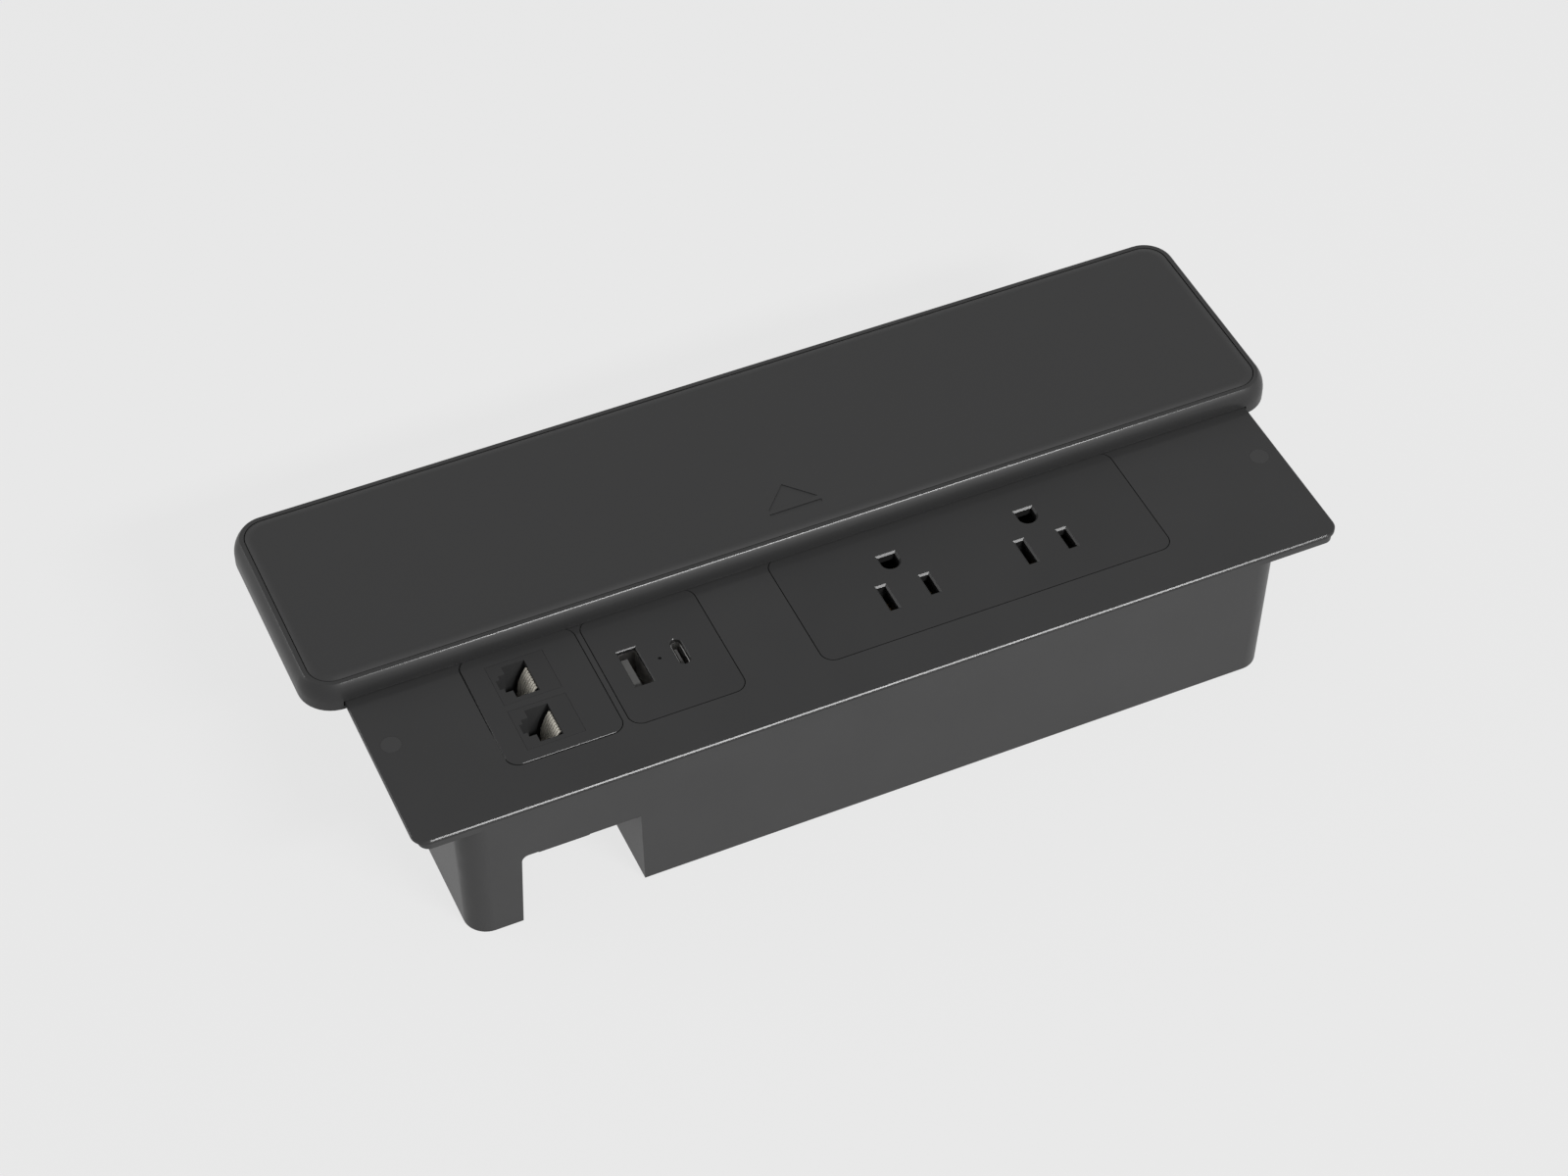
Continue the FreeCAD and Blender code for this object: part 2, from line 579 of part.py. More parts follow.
def make_housing():
    body = start_body("housing")
    radius = "housing_corner_radius"
    half = "deck_depth / 2"
    flange = sketch_on(body, "flange")
    add_block(flange, "0", "0", "2 * flange_end", "deck_depth", "flange_corner_radius")
    pad(body, flange, "flange_thickness")

    # The data end: a shell without a floor, whose front wall has the notch for the cables.
    shell = sketch_on(body, "data_shell")
    add_rectangle(shell, "-housing_left_end", "-power_bay_end + 2 * wall_thickness", f"-{half}", half,
                  (radius, "0", "0", radius))
    pad(body, shell, "housing_height", down=True, taper="-draft_angle")
    bay = sketch_on(body, "data_bay", "flange_thickness")
    inner = "housing_corner_radius - wall_thickness"
    add_rectangle(bay, "-housing_left_end + wall_thickness", "-power_bay_end + 5 * wall_thickness",
                  "-bay_half", "bay_half", (inner, "0", "0", inner))
    pocket(body, bay, "housing_height + flange_thickness + cut_margin", taper="-draft_angle")
    notch = sketch_on(body, "cable_notch", f"{half} + cut_margin", role="XZ_Plane")
    lean = "tan(cable_notch_lean)"
    foot = "housing_height + cut_margin"
    add_polygon(notch, (
        (f"-cable_notch_left - cable_notch_top * {lean}", "-cable_notch_top"),
        (f"-cable_notch_left - ({foot}) * {lean}", f"-({foot})"),
        ("-power_bay_end + 6 * wall_thickness", f"-({foot})"),
        ("-power_bay_end + 6 * wall_thickness", "-cable_notch_top")))
    pocket(body, notch, "2 * wall_thickness + cut_margin")
    corner = edges_where(body, lambda edge: (
        lies_at(edge, -number("cable_notch_top")) and edge.BoundBox.XLength < TOUCHING))
    dress(body, "Fillet", corner, {"Radius": "cable_notch_radius"})

    # The power end: a closed tub, whose end wall also carries the data module.
    box = sketch_on(body, "power_box")
    add_rectangle(box, "-power_bay_end", "housing_right_end", f"-{half}", half, ("0", radius, radius, "0"))
    pad(body, box, "housing_height", down=True, taper="-draft_angle")
    wall = sketch_on(body, "end_wall_top")
    add_rectangle(wall, "-power_bay_end", "-power_bay_end + wall_thickness", f"-{half}", half)
    pad(body, wall, "ledge_level")
    cavity = sketch_on(body, "power_bay", "flange_thickness")
    add_rectangle(cavity, "-power_bay_end + wall_thickness", "housing_right_end - wall_thickness",
                  "-bay_half", "bay_half", ("cavity_corner_radius", inner, inner, "cavity_corner_radius"))
    pocket(body, cavity, "flange_thickness + floor_level", taper="-draft_angle")

    # Ribs that carry the face plates' ledges.
    for place, across in enumerate(rib_places()):
        rib = sketch_on(body, f"rib_{place}", across, role="YZ_Plane")
        for side in ("-", ""):
            add_polygon(rib, (
                (f"{side}({half} - wall_thickness / 2)", "ledge_level"),
                (f"{side}({half} - wall_thickness)", "ledge_level - rib_height"),
                (f"{side}module_back", "ledge_level - rib_nose"),
                (f"{side}module_back", "ledge_level")))
        pad(body, rib, "rib_thickness", both=True)

    # Posts that the plate's bosses stand on, with wells for the screws from below.
    posts = sketch_on(body, "posts", "-post_top")
    for across, row in BOX_POSTS:
        add_circle(posts, across, row, "post_diameter")
    pad(body, posts, "housing_height - post_top", down=True)
    bay_posts = sketch_on(body, "bay_posts", "-post_top")
    for across, row in BAY_POSTS:
        add_circle(bay_posts, across, row, "post_diameter")
    pad(body, bay_posts, "post_seat - post_top", down=True)
    wells = sketch_on(body, "wells", "-housing_height")
    for across, row in BOX_POSTS:
        add_circle(wells, across, row, "well_diameter")
    pocket(body, wells, "housing_height - post_seat", down=False)
    holes = sketch_on(body, "post_holes", "-post_top")
    for across, row in POSTS:
        add_circle(holes, across, row, "screw_hole")
    pocket(body, holes, "post_seat - post_top")

    # Recesses in the flange's ends, whose back ends stop the lid.
    for side in ("-", ""):
        recess = sketch_on(body, f"stop_recess{side.replace('-', '_left')}", "flange_thickness")
        near = f"{side}(flange_end - stop_heel_reach - slide_gap)"
        far = f"{side}(flange_end + cut_margin)"
        ends = (far, near) if side else (near, far)
        add_rectangle(recess, *ends, "heel_front - lid_travel - 2 * slide_gap", "heel_back + slide_gap / 2")
        pocket(body, recess, "flange_thickness")
    fixing = sketch_on(body, "fixing_holes", "flange_thickness")
    for side in ("-", ""):
        add_circle(fixing, f"{side}fixing_spacing / 2", "fixing_offset", "fixing_hole_diameter")
    pocket(body, fixing, "flange_thickness")
    seats = edges_where(body, lambda edge: (
        lies_at(edge, number("flange_thickness"))
        and abs(edge.BoundBox.XLength - number("fixing_hole_diameter")) < TOUCHING))
    dress(body, "Chamfer", seats, {"Size": "fixing_countersink"})
    entry = sketch_on(body, "cord_entry", f"-{half}", role="XZ_Plane")
    add_circle(entry, "cord_entry_across", "-cord_entry_level", "bushing_rim_diameter + 4 * bushing_gap")
    pocket(body, entry, "bushing_seat", down=False)
    bore = sketch_on(body, "cord_bore", f"-{half}", role="XZ_Plane")
    add_circle(bore, "cord_entry_across", "-cord_entry_level", "bushing_diameter")
    pocket(body, bore, "3 * wall_thickness", down=False)
    return body


def rib_places():
    """Where the ribs stand along the deck, two for a small module and three for the long one."""
    data_left, data_right = module_edges("data")
    usb_left, usb_right = module_edges("usb")
    duplex_left, duplex_right = module_edges("duplex")
    return [f"{data_left} + rib_inset", f"{data_right} - rib_latch_inset",
            f"{usb_left} + rib_inset", f"{usb_right} - rib_inset",
            f"{duplex_left} + rib_inset", "duplex_middle", f"{duplex_right} - rib_inset"]


def start_face(name, rise="0"):
    """A module's face plate: a slab that fills its window, on a ledge that the plate holds down."""
    body = start_body(f"{name}_plate")
    ledge = sketch_on(body, "ledge", "ledge_level")
    add_block(ledge, f"{name}_middle", module_row(name), f"{name}_width - window_gap",
              f"{name}_depth + 2 * ledge_width", "ledge_corner_radius")
    pad(body, ledge, "ledge_thickness")
    slab = sketch_on(body, "slab", "flange_thickness")
    add_block(slab, f"{name}_middle", module_row(name), f"{name}_width - window_gap",
              f"{name}_depth - window_gap", "module_corner_radius - window_gap / 2")
    pad(body, slab, f"plate_thickness + {rise}")
    return body


def inner_rims(body, name):
    """Top edges of a face plate that lie inside its outline, round its openings."""
    reach = number(f"{name}_width") / 2 - number("module_corner_radius")
    depth = number(f"{name}_depth") / 2 - number("module_corner_radius")
    return edges_where(body, lambda edge: (
        lies_at(edge, number("deck_top"))
        and abs(edge.BoundBox.Center.x - number(f"{name}_middle")) < reach
        and abs(edge.BoundBox.Center.y - number(module_row(name))) < depth))


OUTLETS = [f"duplex_middle {sign} outlet_pitch / 2" for sign in ("-", "+")]


def make_duplex_plate():
    body = start_face("duplex")
    slots = sketch_on(body, "slots", "deck_top")
    for outlet in OUTLETS:
        add_block(slots, f"{outlet} - blade_spacing / 2", "blade_row", "slot_width", "neutral_slot_length")
        add_block(slots, f"{outlet} + blade_spacing / 2", "blade_row", "slot_width", "hot_slot_length")
        add_ground_slot(slots, outlet)
    pocket(body, slots, "deck_top - ledge_level")
    rims = inner_rims(body, "duplex")
    dress(body, "Chamfer", rims, {"Size": "slot_chamfer"})
    sockets = sketch_on(body, "screw_bosses", "ledge_level")
    for across, row in duplex_screw_places():
        add_circle(sockets, across, row, "boss_diameter - 2 * well_gap")
    pad(body, sockets, "post_top", down=True)
    threads = sketch_on(body, "screw_threads", "ledge_level - post_top")
    for across, row in duplex_screw_places():
        add_circle(threads, across, row, "small_screw_hole")
    pocket(body, threads, "post_top", down=False)
    return body


def add_ground_slot(sketch, across):
    """The slot of a ground pin: an arc towards the blades, and a flat at the other side."""
    left, right = f"{across} - ground_radius", f"{across} + ground_radius"
    spots = [FreeCAD.Vector(number(x), number(y), 0) for x, y in (
        (left, "ground_centre"), (left, "ground_flat"), (right, "ground_flat"), (right, "ground_centre"))]
    lines = [sketch.addGeometry(Part.LineSegment(spots[place], spots[place + 1])) for place in range(3)]
    middle = FreeCAD.Vector(number(across), number("ground_centre"), 0)
    circle = Part.Circle(middle, FreeCAD.Vector(0, 0, 1), number("ground_radius"))
    arc = sketch.addGeometry(Part.ArcOfCircle(circle, math.pi, 2 * math.pi))
    sketch.addConstraint(Sketcher.Constraint("Coincident", lines[0], 2, lines[1], 1))
    sketch.addConstraint(Sketcher.Constraint("Coincident", lines[1], 2, lines[2], 1))
    sketch.addConstraint(Sketcher.Constraint("Coincident", arc, 1, lines[0], 1))
    sketch.addConstraint(Sketcher.Constraint("Coincident", arc, 2, lines[2], 2))
    pin_point(sketch, lines[0], 1, left, "ground_centre")
    pin_point(sketch, lines[1], 1, left, "ground_flat")
    pin_point(sketch, lines[1], 2, right, "ground_flat")
    pin_point(sketch, lines[2], 2, right, "ground_centre")
    bound = sketch.addConstraint(Sketcher.Constraint("DistanceY", -1, 1, arc, 3, number("ground_centre")))
    sketch.setExpression(f"Constraints[{bound}]", formula("ground_centre"))


def duplex_screw_places():
    return [(f"duplex_middle {sign} duplex_screw_across", f"{side}duplex_screw_row")
            for sign in ("-", "+") for side in ("-", "")]


def contact_rows():
    """For each pole: the way from the outlet's middle, the leaves' row, the strap's row and its grip."""
    return {
        "neutral": ("- blade_spacing / 2", "blade_row", "neutral_strap_row", "blade_grip"),
        "hot": ("+ blade_spacing / 2", "blade_row", "hot_strap_row", "blade_grip"),
        "ground": ("+ 0", "ground_centre", "ground_strap_row", "ground_grip"),
    }


def contact_depth(pole):
    """Length of a contact's leaves along the slot."""
    return "ground_flat - ground_centre + ground_leaf_overhang" if pole == "ground" else "leaf_depth"


def make_duplex_body():
    body = start_body("duplex_body")
    block = sketch_on(body, "block", "ledge_level")
    add_block(block, "duplex_middle", "0", "duplex_body_length", "duplex_body_depth", "body_corner_radius")
    pad(body, block, "duplex_body_height", down=True)
    depth = "ledge_level - strap_level"
    for pole, (way, _, strap_row, grip) in contact_rows().items():
        room = f"{grip} + 2 * leaf_thickness + 2 * strap_gap"
        for place, outlet in enumerate(OUTLETS):
            seat = sketch_on(body, f"{pole}_seat_{place}", "ledge_level")
            near, far = contact_span(pole)
            add_rectangle(seat, f"{outlet} {way} - ({room}) / 2", f"{outlet} {way} + ({room}) / 2",
                          f"{near} - strap_gap", f"{far} + strap_gap")
            pocket(body, seat, depth)
        channel = sketch_on(body, f"{pole}_channel", "ledge_level")
        half = "(strap_width / 2 + strap_gap)"
        add_rectangle(channel, f"{OUTLETS[0]} {way}", "duplex_right + cut_margin",
                      f"{strap_row} - {half}", f"{strap_row} + {half}")
        pocket(body, channel, depth)
    sockets = sketch_on(body, "boss_sockets", "ledge_level")
    for across, row in duplex_screw_places():
        add_circle(sockets, across, row, "boss_diameter")
    pocket(body, sockets, "post_top")
    holes = sketch_on(body, "screw_holes", "ledge_level - post_top")
    for across, row in duplex_screw_places():
        add_circle(holes, across, row, "small_screw_hole")
    pocket(body, holes, "duplex_body_height - post_top")
    wells = sketch_on(body, "screw_wells", "ledge_level - duplex_body_height")
    for across, row in duplex_screw_places():
        add_circle(wells, across, row, "boss_diameter")
    pocket(body, wells, "duplex_body_height - post_top - screw_seat_thickness", down=False)
    return body


def contact_span(pole):
    """Front and back of a contact's foot: its leaves and the strap beside them."""
    _, row, strap_row, _ = contact_rows()[pole]
    half = f"({contact_depth(pole)}) / 2"
    near, far = f"{row} - {half}", f"{row} + {half}"
    if pole == "neutral":
        return f"{strap_row} - strap_width / 2", far
    return near, f"{strap_row} + strap_width / 2"


def make_contact_strap(pole):
    """One brass strap: a pair of leaves under each outlet, joined by a strip that ends in a tab."""
    way, row, strap_row, grip = contact_rows()[pole]
    body = start_body(f"{pole}_strap")
    strip = sketch_on(body, "strip", "strap_level")
    add_rectangle(strip, f"{OUTLETS[0]} {way}", "duplex_right + tab_reach",
                  f"{strap_row} - strap_width / 2", f"{strap_row} + strap_width / 2")
    pad(body, strip, "leaf_thickness")
    near, far = contact_span(pole)
    width = f"{grip} + 2 * leaf_thickness"
    for place, outlet in enumerate(OUTLETS):
        foot = sketch_on(body, f"foot_{place}", "strap_level")
        add_rectangle(foot, f"{outlet} {way} - ({width}) / 2", f"{outlet} {way} + ({width}) / 2", near, far)
        pad(body, foot, "leaf_thickness")
        leaves = sketch_on(body, f"leaves_{place}", "strap_level + leaf_thickness")
        for sign in ("-", "+"):
            add_block(leaves, f"{outlet} {way} {sign} ({grip} + leaf_thickness) / 2", row,
                      "leaf_thickness", contact_depth(pole))
        pad(body, leaves, "contact_drop - contact_head_gap")
    return body


def make_neutral_strap():
    return make_contact_strap("neutral")


def make_hot_strap():
    return make_contact_strap("hot")


def make_ground_strap():
    return make_contact_strap("ground")


def set_place(item, across, row, level):
    """Ties a plain solid's place to three formulas."""
    item.setExpression("Placement.Base.x", formula(across))
    item.setExpression("Placement.Base.y", formula(row))
    item.setExpression("Placement.Base.z", formula(level))


def make_screws(label, places, seat, length, shank, head, head_height):
    """A group of equal screws whose heads sit below, as plain heads and shanks."""
    screws = []
    for place, (across, row) in enumerate(places):
        parts = []
        for name, diameter, height, level in (
                ("head", head, head_height, f"{seat} - {head_height}"), ("shank", shank, length, seat)):
            cylinder = doc.addObject("Part::Cylinder", f"{label}_{name}_{place}")
            cylinder.setExpression("Radius", formula(f"({diameter}) / 2"))
            cylinder.setExpression("Height", formula(height))
            set_place(cylinder, across, row, level)
            parts.append(cylinder)
        screw = doc.addObject("Part::Fuse", f"{label}_screw_{place}")
        screw.Base, screw.Tool = parts
        screws.append(screw)
    group = doc.addObject("Part::Compound", label)
    group.Label = label
    group.Links = screws
    doc.recompute()
    return group


def make_housing_screws():
    return make_screws("housing_screws", POSTS, "-post_seat", "post_seat - post_top + screw_bite",
                       "screw_diameter", "screw_head_diameter", "screw_head_height")


def make_duplex_screws():
    return make_screws("duplex_screws", duplex_screw_places(),
                       "ledge_level - post_top - screw_seat_thickness",
                       "screw_seat_thickness + post_top - screw_tip_gap",
                       "runner_screw_diameter", "runner_head_diameter", "runner_head_height")


def make_usb_plate():
    body = start_face("usb")
    holes = sketch_on(body, "port_holes", "deck_top")
    add_block(holes, "usb_a_across", "usb_a_row", "usb_a_hole_width", "usb_a_hole_length")
    add_oblong(holes, "usb_c_across", "usb_c_row", "usb_c_hole_width", "usb_c_hole_length")
    add_circle(holes, "status_across", "status_row", "status_diameter")
    pocket(body, holes, "deck_top - ledge_level")
    rims = [name for name in inner_rims(body, "usb")
            if body.Tip.Shape.getElement(name).BoundBox.DiagonalLength > 2 * number("status_diameter")]
    dress(body, "Chamfer", rims, {"Size": "port_chamfer"})
    relief = sketch_on(body, "shell_relief", "ledge_level")
    outside = "2 * shell_thickness + 2 * shell_relief_gap"
    add_block(relief, "usb_a_across", "usb_a_row",
              f"usb_a_hole_width + {outside}", f"usb_a_hole_length + {outside}")
    pocket(body, relief, "ledge_thickness", down=False)
    bosses = sketch_on(body, "board_bosses", "ledge_level")
    for across, row in usb_screw_places():
        add_circle(bosses, across, row, "runner_boss_diameter")
    pad(body, bosses, "board_level + ledge_level", down=True)
    threads = sketch_on(body, "board_threads", "-board_level")
    for across, row in usb_screw_places():
        add_circle(threads, across, row, "small_screw_hole")
    pocket(body, threads, "post_top", down=False)
    return body


def usb_screw_places():
    """Two screws, at the front left and the back right corner of the board."""
    return [("usb_middle - usb_screw_across", "-usb_screw_row"),
            ("usb_middle + usb_screw_across", "usb_screw_row")]


def make_usb_cover():
    """A deep cup behind the USB plate, with a post under two corners of the board."""
    body = start_body("usb_cover")
    outline = sketch_on(body, "outline", "ledge_level")
    add_block(outline, "usb_middle", "0", "cover_length", "cover_depth", "body_corner_radius")
    pad(body, outline, "usb_cover_height", down=True)
    room = sketch_on(body, "room", "ledge_level")
    add_block(room, "usb_middle", "0",
              "cover_length - 2 * usb_cover_wall", "cover_depth - 2 * usb_cover_wall",
              "body_corner_radius - usb_cover_wall")
    pocket(body, room, "usb_cover_height - usb_cover_wall")
    posts = sketch_on(body, "posts", "-board_bottom")
    for across, row in usb_screw_places():
        add_circle(posts, across, row, "boss_diameter")
    pad(body, posts, "post_gap", down=True)
    wells = sketch_on(body, "wells", "ledge_level - usb_cover_height")
    for across, row in usb_screw_places():
        add_circle(wells, across, row, "runner_head_diameter + 2 * well_gap")
    pocket(body, wells, "post_gap - screw_seat_thickness", down=False)
    holes = sketch_on(body, "holes", "-board_bottom")
    for across, row in usb_screw_places():
        add_circle(holes, across, row, "small_screw_hole")
    pocket(body, holes, "screw_seat_thickness + cut_margin")
    return body


def make_usb_board():
    """The supply's circuit board, on the cover's posts."""
    body = start_body("usb_board")
    outline = sketch_on(body, "outline", "-board_bottom")
    edge = "2 * (usb_cover_wall + board_gap)"
    add_block(outline, "usb_middle", "0",
              f"cover_length - {edge}", f"cover_depth - {edge}", "ledge_corner_radius")
    for across, row in usb_screw_places():
        add_circle(outline, across, row, "small_screw_hole")
    pad(body, outline, "board_thickness")
    return body


def make_usb_screws():
    return make_screws("usb_screws", usb_screw_places(), "-board_bottom - screw_seat_thickness",
                       "screw_seat_thickness + board_thickness + post_top - screw_tip_gap",
                       "runner_screw_diameter", "runner_head_diameter", "runner_head_height")


def make_usb_a_shell():
    """The folded metal shell of the larger port, standing on the board behind the plate."""
    body = start_body("usb_a_shell")
    outline = sketch_on(body, "outline", "-board_level")
    add_block(outline, "usb_a_across", "usb_a_row", "usb_a_hole_width + 2 * shell_thickness",
              "usb_a_hole_length + 2 * shell_thickness")
    add_block(outline, "usb_a_across", "usb_a_row", "usb_a_hole_width", "usb_a_hole_length")
    pad(body, outline, "board_level + flange_thickness")
    return body


def make_usb_a_tongue():
    """The plastic tongue that carries the four contacts, with its foot inside the shell."""
    body = start_body("usb_a_tongue")
    foot = sketch_on(body, "foot", "-board_level")
    add_block(foot, "usb_a_across", "usb_a_row",
              "usb_a_hole_width - 2 * shell_gap", "usb_a_hole_length - 2 * shell_gap")
    pad(body, foot, "tongue_foot_height")
    tongue = sketch_on(body, "tongue", "-board_level")
    add_block(tongue, "usb_a_across - tongue_a_shift", "usb_a_row", "tongue_a_thickness", "tongue_a_length")
    pad(body, tongue, "board_level + flange_thickness - tongue_a_top_gap")
    return body


def make_usb_a_contacts():
    """Four flat contacts on the right face of the tongue, the outer two further apart."""
    body = start_body("usb_a_contacts")
    strips = sketch_on(body, "strips", "-board_level + tongue_foot_height")
    face = "usb_a_across - tongue_a_shift + (tongue_a_thickness + contact_a_thickness) / 2"
    for pitch in ("contact_a_inner_pitch", "contact_a_outer_pitch"):
        for sign in ("-", "+"):
            add_block(strips, face, f"usb_a_row {sign} {pitch} / 2",
                      "contact_a_thickness", "contact_a_width")
    pad(body, strips, "board_level + flange_thickness - tongue_foot_height - 2 * tongue_a_top_gap")
    return body


def add_oblong(sketch, across, row, width, length):
    """A slot-shaped outline whose ends are round."""
    add_block(sketch, across, row, width, length, f"({width}) / 2 - {ROUND_END_MARGIN}")


def make_usb_c_shell():
    """The oblong metal shell of the smaller port."""
    body = start_body("usb_c_shell")
    outline = sketch_on(body, "outline", "-board_level")
    add_oblong(outline, "usb_c_across", "usb_c_row", "usb_c_width", "usb_c_length")
    add_oblong(outline, "usb_c_across", "usb_c_row", "usb_c_width - 2 * shell_thickness",
               "usb_c_length - 2 * shell_thickness")
    pad(body, outline, "board_level + flange_thickness")
    return body


def make_usb_c_tongue():
    """The thin tongue in the middle of the smaller port."""
    body = start_body("usb_c_tongue")
    foot = sketch_on(body, "foot", "-board_level")
    edge = "(2 * shell_thickness + shell_gap)"
    add_oblong(foot, "usb_c_across", "usb_c_row", f"usb_c_width - {edge}", f"usb_c_length - {edge}")
    pad(body, foot, "tongue_c_foot")
    tongue = sketch_on(body, "tongue", "-board_level")
    add_block(tongue, "usb_c_across", "usb_c_row", "tongue_c_thickness", "tongue_c_length")
    pad(body, tongue, "board_level + flange_thickness - tongue_c_top_gap")
    return body


def make_light_pipe():
    """A clear rod from a lamp on the board to the small hole in the plate."""
    pipe = doc.addObject("Part::Cylinder", "light_pipe_rod")
    foot = doc.addObject("Part::Cylinder", "light_pipe_foot")
    for item, diameter, height in (
            (pipe, "status_diameter - 2 * shell_gap", "board_level + deck_top - status_depth"),
            (foot, "status_diameter + 2 * status_foot_rim", "board_level + ledge_level - shell_gap")):
        item.setExpression("Radius", formula(f"({diameter}) / 2"))
        item.setExpression("Height", formula(height))
        set_place(item, "status_across", "status_row", "-board_level")
    whole = doc.addObject("Part::Fuse", "light_pipe")
    whole.Label = "light_pipe"
    whole.Base, whole.Tool = pipe, foot
    doc.recompute()
    return whole


def make_usb_transformer():
    """Supply transformer under the board: a core with a wider winding."""
    body = start_body("usb_transformer")
    across, row = "usb_middle - transformer_shift", "-transformer_forward"
    core = sketch_on(body, "core", "-board_bottom")
    add_block(core, across, row, "core_width", "core_length", "core_corner_radius")
    pad(body, core, "core_height", down=True)
    winding = sketch_on(body, "winding", "-board_bottom - winding_drop")
    add_block(winding, across, row, "winding_width", "winding_length", "winding_corner_radius")
    pad(body, winding, "winding_height", down=True)
    return body


def make_usb_capacitors():
    """Two equal cans under the board, beside the transformer."""
    cans = []
    for place, sign in enumerate(("-", "+")):
        can = doc.addObject("Part::Cylinder", f"usb_capacitor_{place}")
        can.setExpression("Radius", formula("capacitor_diameter / 2"))
        can.setExpression("Height", formula("capacitor_height"))
        set_place(can, "usb_middle + capacitor_shift", f"capacitor_backward {sign} capacitor_spacing / 2",
                  "-board_bottom - capacitor_height")
        cans.append(can)
    group = doc.addObject("Part::Compound", "usb_capacitors")
    group.Label = "usb_capacitors"
    group.Links = cans
    doc.recompute()
    return group


JACKS = {"front": "jack_front_row", "back": "jack_front_row + jack_pitch"}


def make_data_plate():
    """The data module's plate, which stands a little proud, with a collar beside each jack."""
    body = start_face("data", "data_rise")
    rim = edges_where(body, lambda edge: lies_at(edge, number("data_top")))
    dress(body, "Chamfer", rim, {"Size": "data_edge_chamfer"})
    windows = sketch_on(body, "jack_windows", "data_top")
    for row in JACKS.values():
        add_block(windows, "jack_across", row, "jack_window_length", "jack_window_depth")
    pocket(body, windows, "data_top - ledge_level")
    collar = sketch_on(body, "jack_collars", "ledge_level")
    for row in JACKS.values():
        for sign in ("-", "+"):
            add_block(collar, f"jack_across {sign} (jack_window_length + collar_thickness) / 2", row,
                      "collar_thickness", "jack_face_depth - 2 * collar_inset")
    pad(body, collar, "jack_shoulder", down=True)
    return body


def make_jack_body(name):
    """A keystone jack: a flush face, the plug's opening with the steps of its latch, and two hooks."""
    row = JACKS[name]
    body = start_body(f"jack_body_{name}")
    face = sketch_on(body, "face", "jack_shoulder_level")
    add_block(face, "jack_across", row, "jack_face_length", "jack_face_depth")
    pad(body, face, "data_top - jack_shoulder_level")
    trunk = sketch_on(body, "trunk", "jack_shoulder_level")
    add_block(trunk, "jack_across", row, "jack_face_length - 2 * jack_trunk_inset", "jack_face_depth")
    pad(body, trunk, "jack_body_height - jack_shoulder", down=True)
    hook = sketch_on(body, "hooks", f"-({row})", role="XZ_Plane")
    seat = "jack_shoulder_level - hook_gap"
    for sign in ("-", "+"):
        inner = f"jack_across {sign} (jack_face_length / 2 - hook_root)"
        outer = f"jack_across {sign} (jack_face_length / 2 + hook_reach)"
        add_polygon(hook, (
            (inner, seat), (outer, seat), (outer, f"{seat} - hook_edge"), (inner, f"{seat} - hook_height")))
    pad(body, hook, "hook_width", both=True)
    opening = sketch_on(body, "opening", "data_top")
    add_plug_outline(opening, row)
    pocket(body, opening, "plug_reach")
    return body


def add_plug_outline(sketch, row):
    """The plug's opening: a rectangle with two narrower steps for the latch at its left."""
    wide, step, tip = "plug_width / 2", "latch_width / 2", "latch_tip_width / 2"
    left = "plug_right_side - plug_length"
    middle = f"{left} - latch_length"
    end = f"{middle} - latch_tip_length"
    add_polygon(sketch, (
        ("plug_right_side", f"{row} - {wide}"), ("plug_right_side", f"{row} + {wide}"),
        (left, f"{row} + {wide}"), (left, f"{row} + {step}"),
        (middle, f"{row} + {step}"), (middle, f"{row} + {tip}"),
        (end, f"{row} + {tip}"), (end, f"{row} - {tip}"),
        (middle, f"{row} - {tip}"), (middle, f"{row} - {step}"),
        (left, f"{row} - {step}"), (left, f"{row} - {wide}")))


